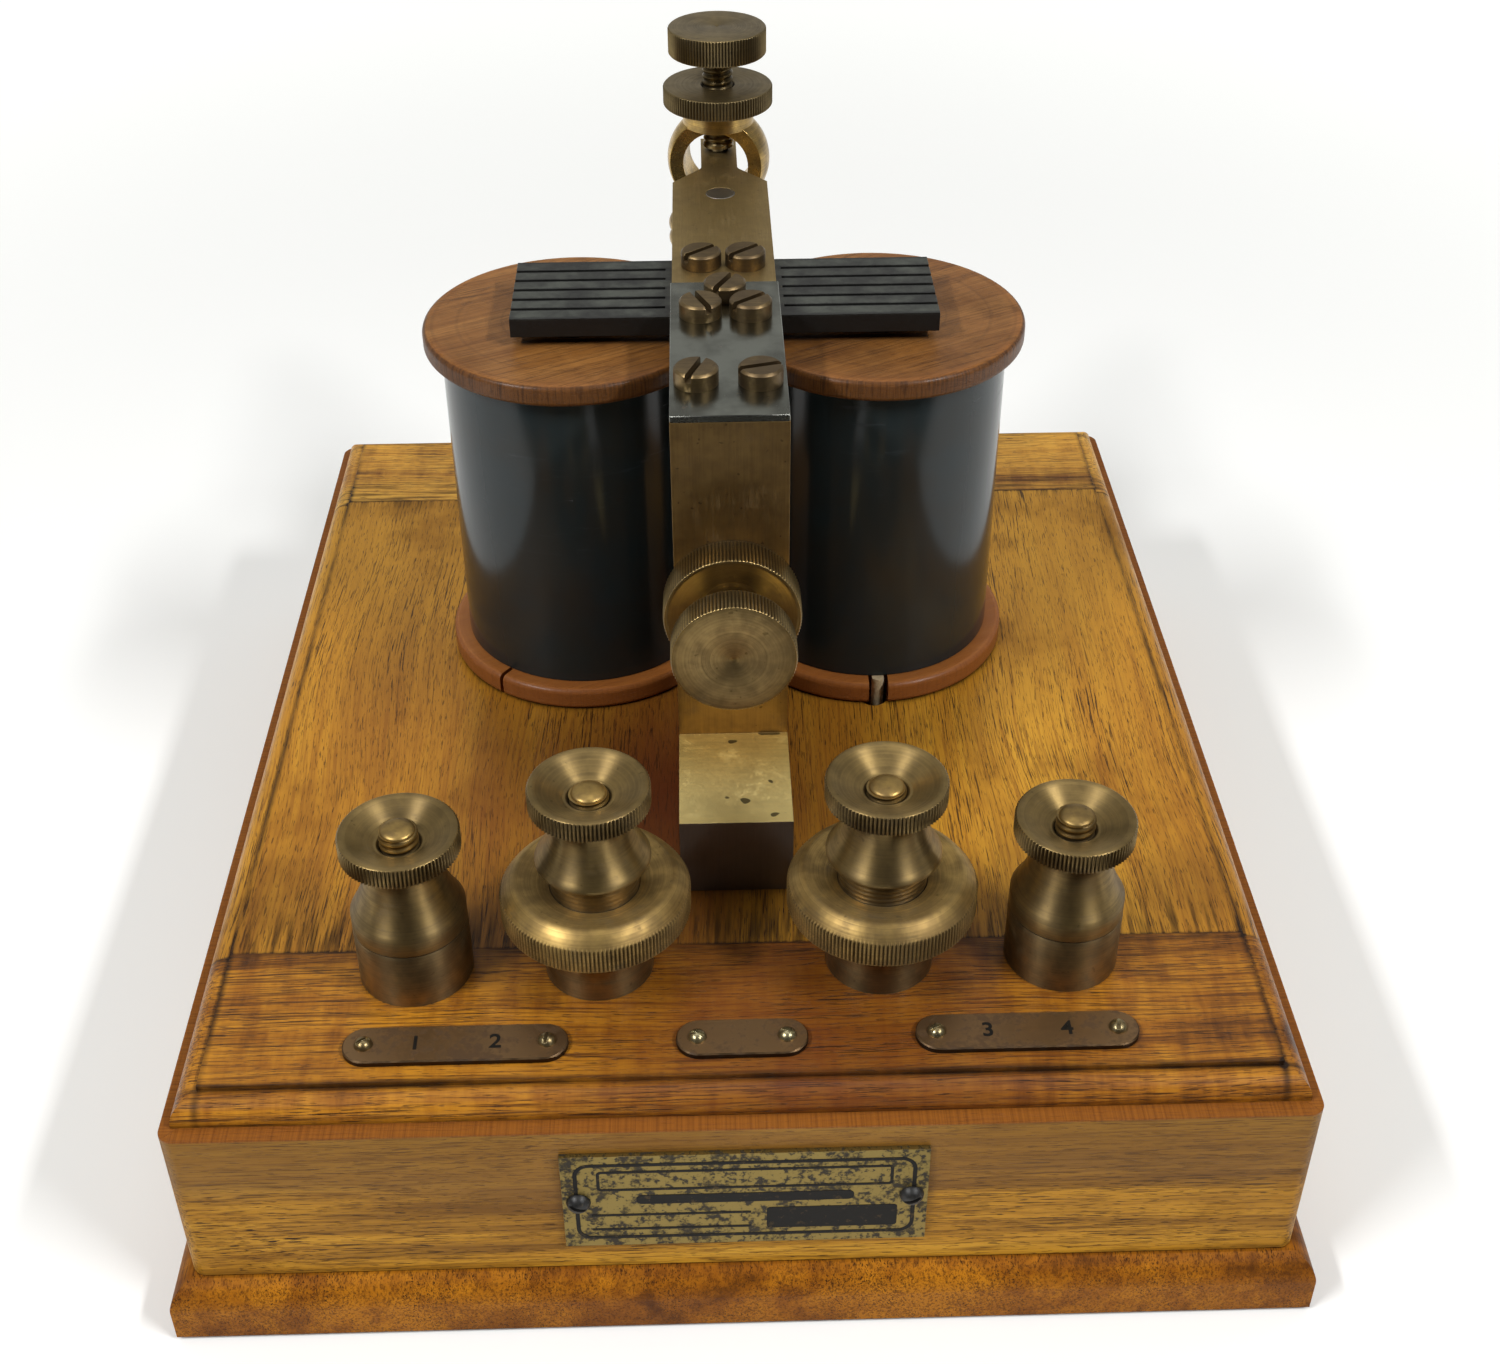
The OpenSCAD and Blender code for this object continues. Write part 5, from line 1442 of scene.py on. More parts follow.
@dataclass
class LeverWork:
    """Bracket, hinge spring, lever and armature."""

    slot_count: int = 5
    bracket_ease: float = 0.22
    spring_ease: float = 0.12
    lever_ease: float = 0.18
    screw_ease: float = 0.08
    armature_ease: float = 0.15
    contact_ease: float = 0.1
    leaf_ease: float = 0.08
    spring_rows: int = 60

    def build(self) -> None:
        """Makes and dresses the moving work."""
        bar = BracketBrass(
            "bracket brass", Work.DRAWN, Axis.Z, bright=tint(150, 122, 76), aged=tint(122, 98, 62),
            brown=tint(84, 64, 42), tarnish=0.6, polish=0.36, spots=0.6,
        )
        softened("bracket", self.bracket_ease, bar)
        paint_solid("bracket_screws", Steel("bracket screw steel", polish=0.36))
        self.spring()
        lever = Brass(
            "lever brass", Work.DRAWN, Axis.Y, bright=tint(170, 146, 96), aged=tint(146, 124, 82),
            brown=tint(104, 85, 57), tarnish=0.55, polish=0.4, rubbing=0.2,
        )
        softened("lever", self.lever_ease, lever)
        screw = Brass(
            "screw brass", Work.DRAWN, Axis.X, bright=tint(134, 113, 76), aged=tint(98, 82, 60),
            brown=tint(74, 60, 44), tarnish=0.65, polish=0.38, reach=0.0012, rubbing=0.15,
        )
        for node in ("clamp_screws", "lever_screws", "armature_screws"):
            softened(node, self.screw_ease, screw)
        low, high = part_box("armature")
        black = BlackIron(
            "armature black", base=tint(62, 65, 58), deep=tint(13, 13, 12), top=high.z,
            slots=(low.y, (high.y - low.y) / (self.slot_count + 1)),
        )
        softened("armature", self.armature_ease, black)
        self.leaf()
        silver = Steel("contact silver", base=tint(196, 192, 184), polish=0.3, rusted=0.0)
        softened("lever_contact", self.contact_ease, silver)

    def spring(self) -> None:
        """The hinge spring, divided finely along its length, between bracket and lever."""
        low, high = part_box("hinge_spring")
        e = self.spring_ease * MM
        outline = [
            (low.x + e, low.z), (high.x - e, low.z), (high.x, low.z + e), (high.x, high.z - e),
            (high.x - e, high.z), (low.x + e, high.z), (low.x, high.z - e), (low.x, low.z + e),
        ]
        middle = Vector(((low.x + high.x) / 2, (low.z + high.z) / 2))
        step = (high.y - low.y - 2 * e) / self.spring_rows
        levels = [(low.y + e + step * i, 0.0) for i in range(self.spring_rows + 1)]
        rows = [(low.y, 1.0), *levels, (high.y, 1.0)]
        bm = bmesh.new()
        layer = bm.faces.layers.float.new(EDGE)
        rings = []
        for y, inset in rows:
            ring = []
            for x, z in outline:
                dx = math.copysign(e, x - middle.x) * inset
                dz = math.copysign(e, z - middle.y) * inset
                ring.append(bm.verts.new((x - dx, y, z - dz)))
            rings.append(ring)
        for i, (ring, following) in enumerate(zip(rings, rings[1:])):
            for k, face in enumerate(bridge(bm, ring, following)):
                face[layer] = 1.0 if k % 2 == 1 or i in (0, len(rings) - 2) else 0.0
        bm.faces.new(list(reversed(rings[0])))
        bm.faces.new(rings[-1])
        piece = keep(bm, "hinge_spring_strip", STRIP_SMOOTH, outward=True)
        steel = Steel("spring steel", base=tint(138, 140, 132), grey=tint(104, 105, 98), polish=0.17, rusted=0.9)
        start = Vector((0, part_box("bracket")[1].y, middle.y))
        self.bend(piece, steel, "hinge_spring", start, Vector((0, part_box("lever")[0].y, middle.y)))

    def leaf(self) -> None:
        """The tension leaf, cut into fine rows, which hangs from the lever down to the tension screw."""
        low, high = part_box("tension_leaf")
        bm = eased_copy("tension_leaf", self.leaf_ease)
        for i in range(1, self.spring_rows):
            level = (0, 0, low.z + (high.z - low.z) * i / self.spring_rows)
            everything = bm.verts[:] + bm.edges[:] + bm.faces[:]
            bmesh.ops.bisect_plane(bm, geom=everything, plane_co=level, plane_no=(0, 0, 1))
        piece = keep(bm, "tension_leaf_strip")
        start = Vector((0, low.y, size_of("tension_screw")[2].z))
        end = Vector((0, low.y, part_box("lever")[0].z))
        self.bend(piece, Steel("leaf steel", axis=Axis.Z), "tension_leaf", start, end)

    def bend(self, piece: bpy.types.Object, finish: Finish, node: str, start: Vector, end: Vector) -> None:
        """Dresses a strip between the base and the lever, bakes its place into its mesh and hides the solid it
        stands for.

        Args:
            piece: the strip.
            finish: its finish.
            node: the solid that it stands for.
            start: where it leaves the base; not used.
            end: where it joins the lever; not used.
        """
        piece.data.materials.append(finish.material())
        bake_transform(piece)
        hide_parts(node)
        LOG.info("%s bends between base and lever", piece.name)


@dataclass
class TurnedKnob:
    """A milled knob or lock nut on a screw."""

    node: str
    place: Matrix
    radius: float
    height: float
    bore: float
    teeth: int
    blind: float = 0.0
    dish: float = 0.0
    rim: float = 0.8
    floor_radius: float = 5.1
    floor_ease: float = 0.2
    floor_mouth: float = 0.3
    bevel: float = 0.3
    mill: float = 0.34
    edge_ease: float = 0.12
    bore_ease: float = 0.1
    mouth: float = 0.35
    dimple: Tuple[Tuple[float, float], ...] = ((0.5, 0.0), (0.25, 0.1), (0.0, 0.16))

    @classmethod
    def fitted(cls, node: str, axis: Axis, bore: float, teeth: int, **shape: float) -> "TurnedKnob":
        """A knob with the place and size of a solid.

        Args:
            node: the solid.
            axis: Z for an upright knob, Y for one that faces the front.
            bore: radius of its bore, in mm.
            teeth: teeth of its milling.
            shape: its other fields.

        Returns:
            The knob.
        """
        low, high, middle = size_of(node)
        if axis is Axis.Z:
            place, height = upright(middle.x, middle.y, low.z), high.z - low.z
        else:
            place, height = facing_front(middle.x, high.y, middle.z), high.y - low.y
        return cls(node, place, (high.x - middle.x) / MM, height / MM, bore, teeth, **shape)

    def corners(self) -> List[Corner]:
        """The profile, from the bore's lower end outwards."""
        r, h, b, bore = self.radius, self.height, self.bevel, self.bore
        shape = [
            Corner(bore, 0, self.bore_ease), Corner(r - b, 0, self.edge_ease), Corner(r, b, 0.0, self.mill),
            Corner(r, h - b, 0.0, self.mill), Corner(r - b, h, self.edge_ease),
        ]
        if self.blind:
            shape += [Corner(radius, h - sunk) for radius, sunk in self.dimple]
            return shape + [Corner(0.0, h * self.blind), Corner(bore, h * self.blind)]
        if self.dish:
            floor = h - self.dish
            shape += [Corner(r - self.rim, h, self.edge_ease), Corner(self.floor_radius, floor, self.floor_ease)]
            return shape + [Corner(bore + self.floor_mouth, floor), Corner(bore, floor - self.floor_mouth)]
        return shape + [Corner(bore + self.mouth, h, self.bore_ease), Corner(bore, h - self.mouth)]

    def build(self, finish: Finish) -> None:
        """Makes the knob and dresses it in a finish."""
        dress_piece(turned(self.node + "_milled", self.corners(), self.place, self.teeth), finish, self.node)


@dataclass
class ContactPillar:
    """Eye pillar, anvil post and the stop screw with its knobs."""

    pitch: float = 1.27
    thread_depth: float = 0.42
    knob_teeth: int = 96
    lock_teeth: int = 104
    blind: float = 0.75
    pillar_ease: float = 0.18
    pillar_sharp: float = 40.0
    anvil_ease: float = 0.25
    contact_ease: float = 0.1
    tip_ease: float = 0.06

    def build(self) -> None:
        """Makes and dresses the pillar and its screw."""
        low, high, middle = size_of("stop_screw")
        centre = (middle.x, middle.y, 0.0)
        brass = Brass(
            "pillar brass", Work.TURNED, Axis.Z, centre, bright=tint(204, 168, 96), tarnish=0.5, polish=0.26,
        )
        softened("contact_pillar", self.pillar_ease, brass, sharp=self.pillar_sharp)
        anvil = size_of("anvil_post")[2]
        post_brass = Brass("anvil brass", Work.TURNED, Axis.Z, (anvil.x, anvil.y, 0.0))
        softened("anvil_post", self.anvil_ease, post_brass)
        silver = Steel("anvil silver", base=tint(200, 196, 188), polish=0.3, rusted=0.0)
        softened("anvil_contact", self.contact_ease, silver)
        softened("stop_tip", self.tip_ease, silver)
        dark = Brass(
            "stop brass", Work.TURNED, Axis.Z, centre, bright=tint(140, 122, 84), aged=tint(108, 94, 66),
            brown=tint(76, 64, 46), tarnish=0.65, polish=0.36, reach=0.0012, swirl=0.4,
        )
        thread = Thread((high.x - low.x) / 2 / MM, self.thread_depth, self.pitch)
        thread.rod("stop_screw", dark, upright(middle.x, middle.y, 0.0), low.z / MM, high.z / MM)
        bore = (high.x - middle.x) / MM + SLIP
        TurnedKnob.fitted("stop_knob", Axis.Z, bore, self.knob_teeth, blind=self.blind).build(dark)
        TurnedKnob.fitted("stop_lock_nut", Axis.Z, bore, self.lock_teeth).build(dark)


@dataclass
class TensionScrew:
    """The tension screw with its knob and dished lock nut."""

    pitch: float = 1.27
    thread_depth: float = 0.42
    knob_teeth: int = 104
    lock_teeth: int = 116
    blind: float = 0.75
    dish: float = 3.2

    def build(self) -> None:
        """Makes and dresses the screw."""
        low, high, middle = size_of("tension_screw")
        centre = (middle.x, 0.0, middle.z)
        brass = Brass("tension brass", Work.TURNED, Axis.Y, centre, tarnish=0.6, polish=0.3, reach=0.0015)
        radius = (high.x - low.x) / 2 / MM
        thread = Thread(radius, self.thread_depth, self.pitch)
        thread.rod("tension_screw", brass, facing_front(middle.x, high.y, middle.z), 0.0, (high.y - low.y) / MM)
        bore = radius + SLIP
        TurnedKnob.fitted("tension_knob", Axis.Y, bore, self.knob_teeth, blind=self.blind).build(brass)
        TurnedKnob.fitted("tension_lock_nut", Axis.Y, bore, self.lock_teeth, dish=self.dish).build(brass)


@dataclass
class BindingPosts:
    """Four posts with their barrels, studs, thumb nuts and two ring nuts."""

    skirt_radius: float = 9.1
    neck_radius: float = 6.1
    neck_length: float = 1.6
    head_height: float = 3.7
    dish: float = 2.2
    rim: float = 0.8
    bevel: float = 0.3
    mill: float = 0.34
    head_teeth: int = 92
    ring_teeth: int = 144
    ring_crown: float = 2.2
    ring_crest: float = 12.2
    ring_bore: float = 7.16
    ring_thread: float = 7.1
    stud_radius: float = 3.175
    stud_pitch: float = 1.27
    stud_depth: float = 0.4
    stud_dome: float = 0.9
    stud_thread: float = 14.0
    barrel_pitch: float = 0.9
    barrel_sides: int = 64
    barrel_taper: float = 0.15
    taper_height: float = 0.5
    ring_gap: float = 0.05
    left_groove: float = 0.05
    right_groove: float = 0.16
    curve_steps: int = 14
    outer_skirt: float = 3.2
    inner_skirt: float = 0.8
    outer_proud: float = 1.0
    inner_sunk: float = 0.7
    edge_ease: float = 0.12
    under_ease: float = 0.2
    band_ease: float = 0.15
    neck_ease: float = 0.4
    lip_ease: float = 0.7
    floor_ease: float = 0.3
    mouth: float = 0.35
    mouth_ease: float = 0.1
    mouth_depth: float = 0.4

    def build(self) -> None:
        """Makes and dresses the posts."""
        for node, skirt, _ in self.posts():
            self.thumb_nut(node, skirt)
        for node in ("left_ring_nut", "right_ring_nut"):
            self.ring_nut(node)
        self.outer_barrels()
        self.inner_barrels()
        self.studs()
        for node in ("under_washers", "under_nuts"):
            paint_solid(node, Brass("under brass", Work.PLAIN, tarnish=0.5))

    def posts(self) -> Tuple[Tuple[str, float, float], ...]:
        """Each thumb nut, the height of its skirt and how far its stud stands out of it, in mm."""
        outer, inner = (self.outer_skirt, self.outer_proud), (self.inner_skirt, -self.inner_sunk)
        return (("left_outer_nut", *outer), ("left_inner_nut", *inner),
                ("right_inner_nut", *inner), ("right_outer_nut", *outer))

    def brass(
        self, name: str, x: float, y: float, bright: Colour, aged: Colour, tarnish: float = 0.6,
        polish: float = 0.36, swirl: float = 0.8,
    ) -> Brass:
        """Brass turned about an upright axis.

        Args:
            name: the finish's name.
            x, y: where the axis stands, in metres.
            bright, aged: the metal's two colours.
            tarnish: how far it has gone brown.
            polish: its roughness.
            swirl: how far light runs across the lathe's lines.

        Returns:
            The finish.
        """
        return Brass(
            name, Work.TURNED, Axis.Z, (x, y, 0.0), bright=bright, aged=aged, brown=tint(84, 70, 50),
            tarnish=tarnish, polish=polish, swirl=swirl, reach=0.001, rubbing=0.25,
        )

    def thumb_nut(self, node: str, skirt_height: float) -> None:
        """A thumb nut with a hollow flare and a milled, dished head.

        Args:
            node: the solid it stands for.
            skirt_height: height of its skirt band, in mm.
        """
        low, high, middle = size_of(node)
        top = (high.z - low.z) / MM
        head = (high.x - middle.x) / MM
        bore = self.stud_radius + SLIP
        b, skirt, neck = self.bevel, self.skirt_radius, self.neck_radius
        head_z = top - self.head_height
        flare_height = head_z - self.neck_length - skirt_height
        flare = []
        for i in range(1, self.curve_steps + 1):
            t = i / self.curve_steps
            flare.append(Corner(neck + (skirt - neck) * (1 - t) ** 2, skirt_height + flare_height * t))
        floor = top - self.dish
        corners = [
            Corner(bore, 0), Corner(skirt - b, 0), Corner(skirt, b), Corner(skirt, skirt_height), *flare,
            Corner(neck + b, head_z - b, self.neck_ease), Corner(head - 3 * b, head_z, self.under_ease),
            Corner(head, head_z + b, 0.0, self.mill), Corner(head, top - b, 0.0, self.mill),
            Corner(head - b, top, self.edge_ease), Corner(head - b - self.rim, top, self.lip_ease),
            Corner(self.stud_radius + self.rim, floor, self.floor_ease),
            Corner(bore + self.mouth, floor, self.mouth_ease), Corner(bore, floor - self.mouth_depth),
        ]
        piece = turned(node + "_milled", corners, upright(middle.x, middle.y, low.z), self.head_teeth)
        brass = self.brass(node + " brass", middle.x, middle.y, tint(158, 133, 84), tint(114, 96, 64))
        dress_piece(piece, brass, node)

    def ring_nut(self, node: str) -> None:
        """A ring nut with a milled band and a rounded, dished top.

        Args:
            node: the solid it stands for.
        """
        low, high, middle = size_of(node)
        r = (high.x - middle.x) / MM
        band = (high.z - low.z) / MM - self.ring_crown
        b, bore, crest = self.bevel, self.ring_bore, self.ring_crest
        crown = []
        for i in range(self.curve_steps + 1):
            t = 1.0 - i / self.curve_steps
            crown.append(Corner(crest + (r - b - crest) * t, band + self.ring_crown * (1 - t * t)))
        corners = [
            Corner(bore, 0), Corner(r - b, 0, self.band_ease), Corner(r, b, 0.0, self.mill),
            Corner(r, band - b, 0.0, self.mill), *crown,
            Corner(bore, band + self.ring_crown / 3, self.under_ease),
        ]
        piece = turned(node + "_milled", corners, upright(middle.x, middle.y, low.z), self.ring_teeth)
        brass = self.brass(
            node + " brass", middle.x, middle.y, tint(204, 171, 104), tint(138, 114, 72),
            tarnish=0.68, polish=0.46, swirl=0.6,
        )
        dress_piece(piece, brass, node)

    def outer_barrels(self) -> None:
        """The two plain barrels."""
        bore = self.stud_radius + SLIP
        low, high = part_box("outer_barrels")
        foot, top = low.z / MM, high.z / MM
        y, radius = (low.y + high.y) / 2, (high.y - low.y) / 2 / MM
        corners = [
            Corner(bore, foot), Corner(radius, foot), Corner(radius, top - self.taper_height),
            Corner(radius - self.barrel_taper, top), Corner(bore, top),
        ]
        for side, x in (("left", low.x + radius * MM), ("right", high.x - radius * MM)):
            self.barrel(turned(side + "_outer_barrel", corners, upright(x, y, 0.0)), x, y, "outer_barrels")

    def inner_barrels(self) -> None:
        """The two barrels that are threaded above, for the ring nuts."""
        bore = self.stud_radius + SLIP
        low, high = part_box("inner_barrels")
        y, radius = (low.y + high.y) / 2, (high.y - low.y) / 2 / MM
        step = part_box("left_ring_nut")[0].z / MM - self.ring_gap
        for side, x, groove in (("left", low.x + radius * MM, self.left_groove),
                                ("right", high.x - radius * MM, self.right_groove)):
            bm = bmesh.new()
            place = upright(x, y, 0.0)
            plain = Thread(radius, depth=0.0, pitch=1.0, rows=1, sides=self.barrel_sides)
            plain.build(bm, place, low.z / MM, step, bore)
            thread = Thread(self.ring_thread, groove, self.barrel_pitch, sides=self.barrel_sides)
            thread.build(bm, place, step, high.z / MM, bore)
            piece = keep(bm, side + "_inner_barrel", THREAD_SMOOTH, outward=True)
            self.barrel(piece, x, y, "inner_barrels")

    def barrel(self, piece: bpy.types.Object, x: float, y: float, node: str) -> None:
        """Dresses one barrel.

        Args:
            piece: the barrel.
            x, y: where it stands, in metres.
            node: the solid that it stands for in part.
        """
        brass = self.brass(
            piece.name + " brass", x, y, tint(158, 134, 92), tint(110, 94, 66), tarnish=0.65, polish=0.32,
        )
        dress_piece(piece, brass, node)

    def studs(self) -> None:
        """The four studs with threads and domed ends."""
        low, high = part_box("post_studs")
        y, foot = (low.y + high.y) / 2, low.z / MM
        bm = bmesh.new()
        thread = Thread(self.stud_radius, self.stud_depth, self.stud_pitch)
        for node, _, proud in self.posts():
            _, top, middle = size_of(node)
            end = top.z / MM + proud
            thread.build(
                bm, upright(middle.x, y, 0.0), foot, end, dome=self.stud_dome,
                plain=end - foot - self.stud_thread,
            )
        brass = Brass(
            "stud brass", Work.PLAIN, bright=tint(176, 146, 86), aged=tint(126, 104, 66), tarnish=0.55,
            polish=0.38, reach=0.001,
        )
        dress_piece(keep(bm, "post_studs_threaded", THREAD_SMOOTH, outward=True), brass, "post_studs")


@dataclass(frozen=True)
class Panel:
    """A round-cornered panel of the nameplate, in mm; one with a line is an open frame."""

    width: float
    height: float
    radius: float
    across: float = 0.0
    up: float = 0.0
    line: float = 0.0


@dataclass
class Plates:
    """Label plates with plain numbers, and the blank nameplate."""

    label_half: float = 17.5
    centre_half: float = 10.3
    label_width: float = 7.4
    label_ease: float = 0.2
    label_flat: float = 0.05
    screw_ease: float = 0.1
    name_ease: float = 0.12
    numeral_size: float = 4.0
    numeral_gap: float = 6.2
    numeral_weight: float = 0.08
    relief: float = 0.05
    corner_steps: int = 8
    least_radius: float = 0.2
    panels: Tuple[Panel, ...] = (
        Panel(53.2, 17.8, 2.6, line=0.65), Panel(46.0, 4.6, 0.8, up=4.9, line=0.5), Panel(34.0, 2.1, 1.0, up=0.4),
        Panel(20.5, 5.0, 0.6, 13.6, -4.7), Panel(25.0, 0.5, 0.2, -11.6, -3.2), Panel(25.0, 0.5, 0.2, -11.6, -6.6),
    )

    def build(self) -> None:
        """Makes and dresses the plates."""
        self.labels()
        screw_brass = Brass(
            "label screw brass", Work.PLAIN, bright=tint(176, 168, 132), tarnish=0.5, polish=0.26, reach=0.0008,
        )
        softened("label_screws", self.screw_ease, screw_brass)
        self.numerals()
        name_brass = Plate(
            "name brass", field_colour=tint(138, 119, 66), smoke=tint(74, 63, 36), smoked=0.62, specks=0.6,
            dense=0.9, grain=1100,
        )
        softened("nameplate", self.name_ease, name_brass)
        screw_iron = BlackIron("name screw iron", base=tint(46, 42, 36), worn=tint(104, 92, 70))
        softened("nameplate_screws", self.screw_ease, screw_iron)
        self.name_relief()

    def labels(self) -> None:
        """The three round-ended label plates."""
        low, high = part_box("label_plates")
        y, middle = (low.y + high.y) / 2, high.x / MM - self.label_half
        e, width = self.label_ease, self.label_width
        radius = width / 2 - self.label_flat
        bm = bmesh.new()
        layer = bm.faces.layers.float.new(EDGE)
        for x, half in ((-middle, self.label_half), (0.0, self.centre_half), (middle, self.label_half)):
            full = self.outline(2 * half, width, radius)
            inset = self.outline(2 * half - 2 * e, width - 2 * e, radius - e)
            rings = [[bm.verts.new((x * MM + p.x * MM, y + p.y * MM, z)) for p in points]
                     for points, z in ((full, low.z), (full, high.z - e * MM), (inset, high.z))]
            for ring, following, worn in ((rings[0], rings[1], 0.0), (rings[1], rings[2], 1.0)):
                for face in bridge(bm, ring, following):
                    face[layer] = worn
            bm.faces.new(rings[2])
            bm.faces.new(list(reversed(rings[0])))
        # the dark rub colour on the arrises and the shaded sides paint shade round the label plates
        bronze = Plate(
            "label bronze", field_colour=tint(132, 104, 72), smoke=tint(100, 76, 52), rub=tint(58, 44, 30),
            smoked=0.5, dense=0.1, shaded_sides=0.85,
        )
        dress_piece(keep(bm, "label_plates_eased"), bronze, "label_plates")

    def numerals(self) -> None:
        """Plain numbers 1 to 4 on the two side labels."""
        low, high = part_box("label_plates")
        y = (low.y + high.y) / 2
        bm = bmesh.new()
        middle, gap = high.x - self.label_half * MM, self.numeral_gap * MM
        for body, x in (("1", -middle - gap), ("2", -middle + gap), ("3", middle - gap), ("4", middle + gap)):
            curve = bpy.data.curves.new("numeral", "FONT")
            curve.body = body
            curve.size = self.numeral_size * MM
            curve.align_x = "CENTER"
            curve.align_y = "CENTER"
            curve.extrude = self.relief * MM / 2
            curve.offset = self.numeral_weight * MM
            carrier = bpy.data.objects.new("numeral", curve)
            bpy.context.scene.collection.objects.link(carrier)
            carrier.location = (x, y, high.z)
            bpy.context.view_layer.update()
            graph = bpy.context.evaluated_depsgraph_get()
            mesh = bpy.data.meshes.new_from_object(carrier.evaluated_get(graph))
            mesh.transform(carrier.matrix_world)
            bm.from_mesh(mesh)
            bpy.data.objects.remove(carrier)
            bpy.data.curves.remove(curve)
            bpy.data.meshes.remove(mesh)
        dress_piece(keep(bm, "label_numerals"), Enamel("label black"), "label_plates", stands_for=False)

    def outline(self, width: float, height: float, radius: float) -> List[Vector]:
        """A rectangle with round corners about the origin, in mm."""
        points = []
        for sx, sy, start in ((1, 1, 0), (-1, 1, 90), (-1, -1, 180), (1, -1, 270)):
            centre = Vector((sx * (width / 2 - radius), sy * (height / 2 - radius)))
            for i in range(self.corner_steps + 1):
                a = math.radians(start + 90 * i / self.corner_steps)
                points.append(centre + Vector((math.cos(a), math.sin(a))) * radius)
        return points

    def name_relief(self) -> None:
        """The etched border, blank panels and rules of the nameplate."""
        low, _, middle = size_of("nameplate")
        bm = bmesh.new()
        for panel in self.panels:
            self.panel(bm, panel, Vector((middle.x, low.y, middle.z)))
        piece = keep(bm, "nameplate_relief", outward=True)
        dress_piece(piece, Enamel("name black"), "nameplate", stands_for=False)

    def panel(self, bm: bmesh.types.BMesh, panel: Panel, origin: Vector) -> None:
        """Adds one raised panel or frame.

        Args:
            bm: the mesh it goes into.
            panel: its shape.
            origin: the middle of the plate's face, in metres.
        """

        def loop(points: Sequence[Vector], rise: float) -> List[bmesh.types.BMVert]:
            """Points of the panel's outline at a height over the plate."""
            return [
                bm.verts.new((origin.x + (p.x + panel.across) * MM, origin.y - rise * MM,
                              origin.z + (p.y + panel.up) * MM)) for p in points
            ]

        outer = self.outline(panel.width, panel.height, panel.radius)
        top, foot = loop(outer, self.relief), loop(outer, -self.relief)
        bridge(bm, foot, top)
        if not panel.line:
            bm.faces.new(top)
            return
        radius = max(self.least_radius, panel.radius - panel.line)
        inner = self.outline(panel.width - 2 * panel.line, panel.height - 2 * panel.line, radius)
        rim, sole = loop(inner, self.relief), loop(inner, -self.relief)
        bridge(bm, top, rim)
        bridge(bm, rim, sole)


@dataclass(frozen=True)
class Lamp:
    """A rectangular lamp over the part, in metres and watts."""

    name: str
    place: Tuple[float, float, float]
    width: float
    length: float
    power: float

    def hang(self, aim: Vector) -> None:
        """Points the lamp at the part, its length from front to back.

        Args:
            aim: the point that it faces, in metres.
        """
        light = bpy.data.lights.new(self.name, "AREA")
        light.shape = "RECTANGLE"
        light.size = self.width
        light.size_y = self.length
        light.energy = self.power
        holder = bpy.data.objects.new(self.name, light)
        away = (Vector(self.place) - aim).normalized()
        lengthwise = (Vector((0, 1, 0)) - away * away.y).normalized()
        turn = Matrix((lengthwise.cross(away), lengthwise, away)).transposed()
        holder.matrix_world = Matrix.Translation(self.place) @ turn.to_4x4()
        bpy.context.scene.collection.objects.link(holder)


@dataclass(frozen=True)
class Flag:
    """A dark card that stands before the part, in metres."""

    name: str
    x: float
    y: float
    width: float
    height: float = 0.26
    middle: float = 0.132

    def place(self) -> Matrix:
        """From a card one metre square that lies flat to this card."""
        return Matrix(
            ((self.width, 0, 0, self.x), (0, 0, 1, self.y), (0, self.height, 0, self.middle), (0, 0, 0, 1))
        )


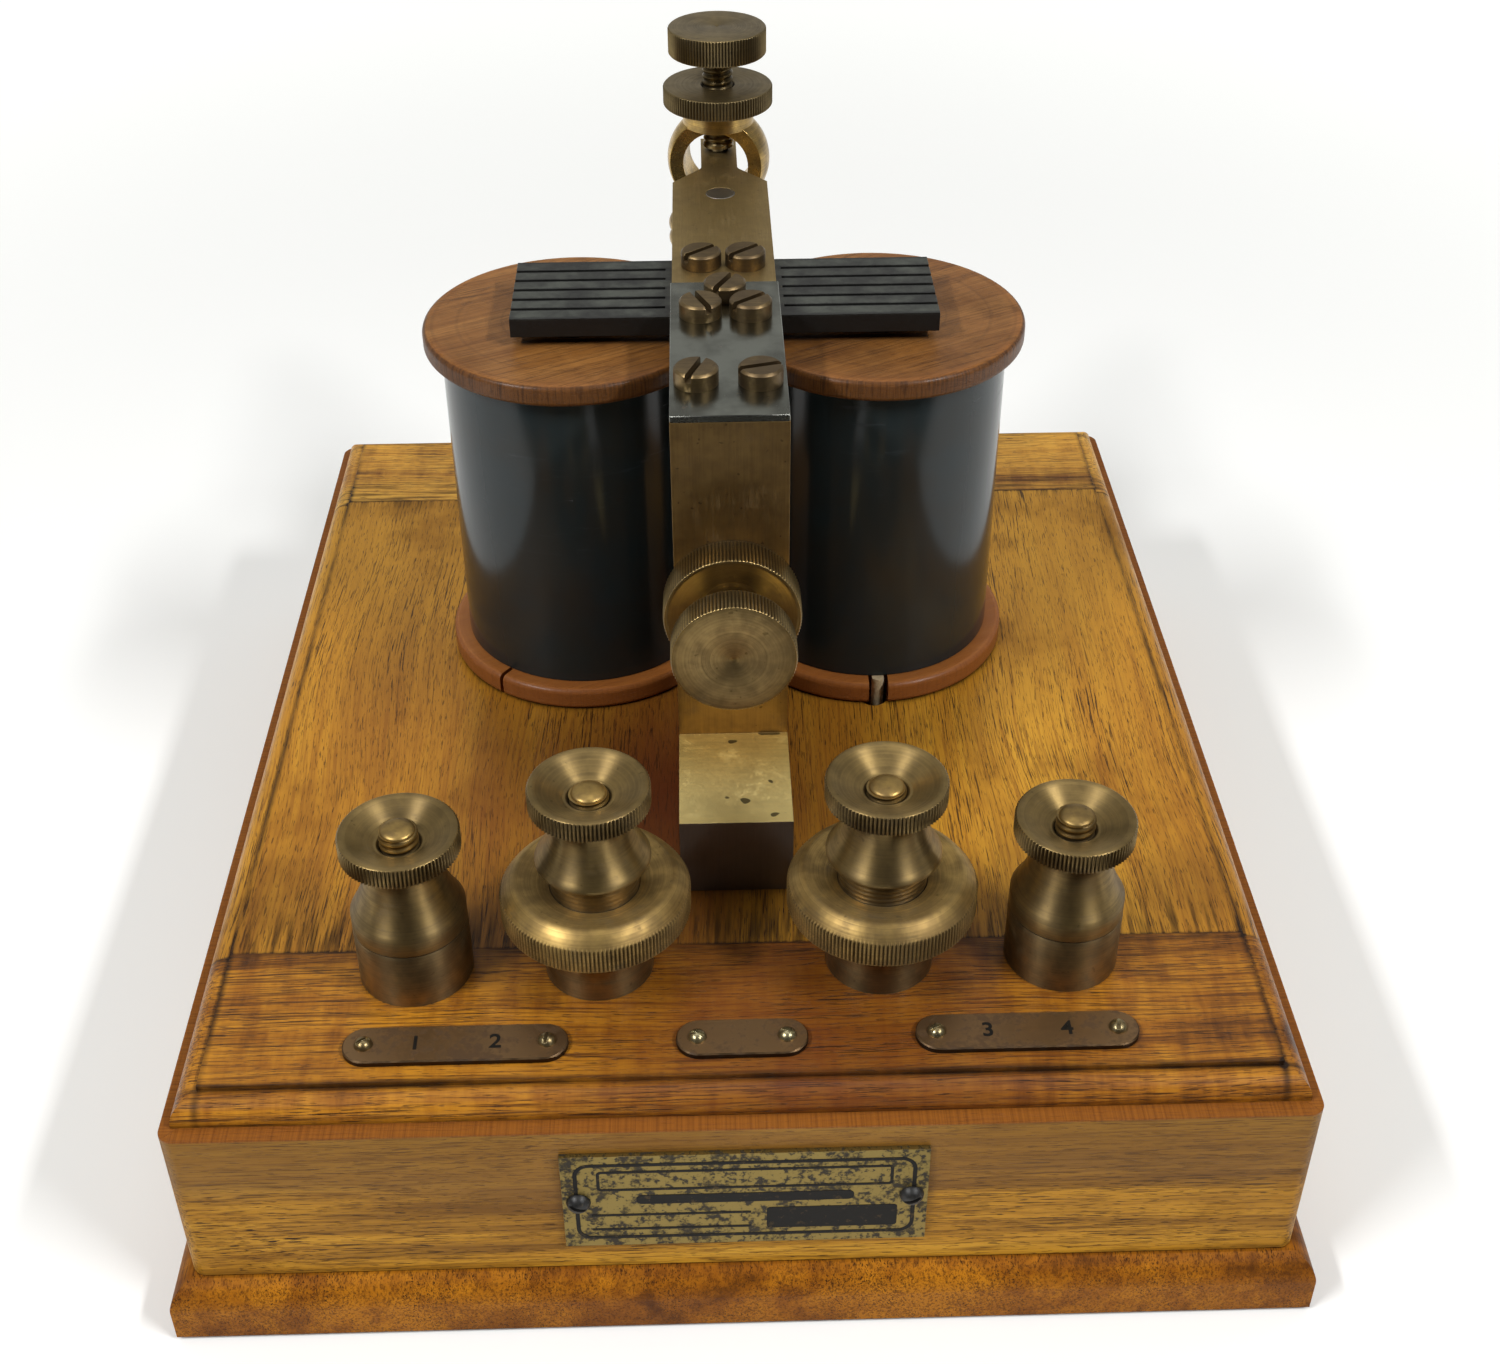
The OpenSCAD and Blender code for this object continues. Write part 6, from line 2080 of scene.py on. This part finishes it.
@dataclass
class Studio:
    """Floor, light and camera."""

    focal: float = 1953.9
    frame_width: int = 1500
    sensor: float = 36.0
    pitch: float = 36.52
    yaw: float = 1.5
    roll: float = 0.24
    eye: Tuple[float, float, float] = (-0.0041, -0.3027, 0.2747)
    near_clip: float = 0.01
    floor_half: float = 4.0
    floor_squares: int = 8
    card_squares: int = 4
    dim: Colour = (0.05, 0.048, 0.045)
    bright: Colour = (0.48, 0.48, 0.46)
    aim: Tuple[float, float, float] = (0, 0, 0.06)
    lamps: Tuple[Lamp, ...] = (
        Lamp("left tube", (-0.8, -0.62, 1.08), 0.09, 0.5, 12.6),
        Lamp("right tube", (0.8, -0.62, 1.08), 0.09, 0.5, 12.6),
        Lamp("top soft box", (0.0, 0.2, 1.35), 0.9, 0.9, 2.2),
    )
    cards: Tuple[Flag, ...] = (
        Flag("left_flag", -0.1275, -0.135, 0.185),
        Flag("right_flag", 0.1275, -0.135, 0.185),
        Flag("middle_flag", 0.0, -0.2, 0.12),
    )
    unseen_by: Tuple[str, ...] = ("camera", "diffuse", "shadow", "transmission", "volume_scatter")

    def build(self) -> None:
        """Sets up the scene round the part."""
        self.floor()
        self.world()
        for lamp in self.lamps:
            lamp.hang(Vector(self.aim))
        self.flags()
        self.camera()
        bpy.context.scene.view_settings.view_transform = "Standard"

    def floor(self) -> None:
        """A plain pale floor."""
        bm = bmesh.new()
        squares = self.floor_squares
        bmesh.ops.create_grid(bm, x_segments=squares, y_segments=squares, size=self.floor_half)
        piece = keep(bm, "studio_floor")
        piece.data.materials.append(Paper("studio paper").material())
        LOG.info("%s on the stage", piece.name)

    def world(self) -> None:
        """Grey surroundings, darker to the front."""
        world = bpy.data.worlds.new("studio world")
        bpy.context.scene.world = world
        g = Graph(world, "ShaderNodeBackground", "ShaderNodeOutputWorld")
        _, back, up = g.split(g.node("ShaderNodeTexCoord", out="Generated"))
        share = g.smooth(back * 0.7 + up * 0.5, -0.2, 0.8)
        g.dress({"Color": g.mix(share, self.dim, self.bright), "Strength": 1.0})

    def flags(self) -> None:
        """Dark cards low in front, seen only in the gloss of the part."""
        black = BlackCard("studio black").material()
        for card in self.cards:
            bm = bmesh.new()
            bmesh.ops.create_grid(bm, x_segments=self.card_squares, y_segments=self.card_squares, size=0.5)
            piece = keep(bm, card.name)
            piece.matrix_world = card.place()
            for ray in self.unseen_by:
                setattr(piece, "visible_" + ray, False)
            piece.data.materials.append(black)
            LOG.info("%s on the stage", piece.name)

    def camera(self) -> None:
        """The camera at the photograph's place and angle."""
        pitch, yaw, roll = (math.radians(a) for a in (self.pitch, self.yaw, self.roll))
        ahead = Vector((math.sin(yaw) * math.cos(pitch), math.cos(yaw) * math.cos(pitch), -math.sin(pitch)))
        right = Vector((math.cos(yaw), -math.sin(yaw), 0.0))
        down = ahead.cross(right)
        across = right * math.cos(roll) + down * math.sin(roll)
        below = down * math.cos(roll) - right * math.sin(roll)
        data = bpy.data.cameras.new("camera")
        data.sensor_fit = "HORIZONTAL"
        data.sensor_width = self.sensor
        data.lens = self.focal / self.frame_width * self.sensor
        data.clip_start = self.near_clip
        holder = bpy.data.objects.new("camera", data)
        rotation = Matrix((across, -below, -ahead)).transposed()
        holder.matrix_world = Matrix.Translation(self.eye) @ rotation.to_4x4()
        bpy.context.scene.collection.objects.link(holder)
        bpy.context.scene.camera = holder


def main() -> None:
    """Builds every sub-assembly."""
    logging.basicConfig(level=logging.INFO, format="%(name)s: %(message)s")
    parts = (
        Studio(), WoodenBox(), Magnet(), LeverWork(), ContactPillar(), TensionScrew(), BindingPosts(), Plates(),
    )
    for part in parts:
        LOG.info("building %s", type(part).__name__)
        part.build()


if __name__ == "__main__":
    main()
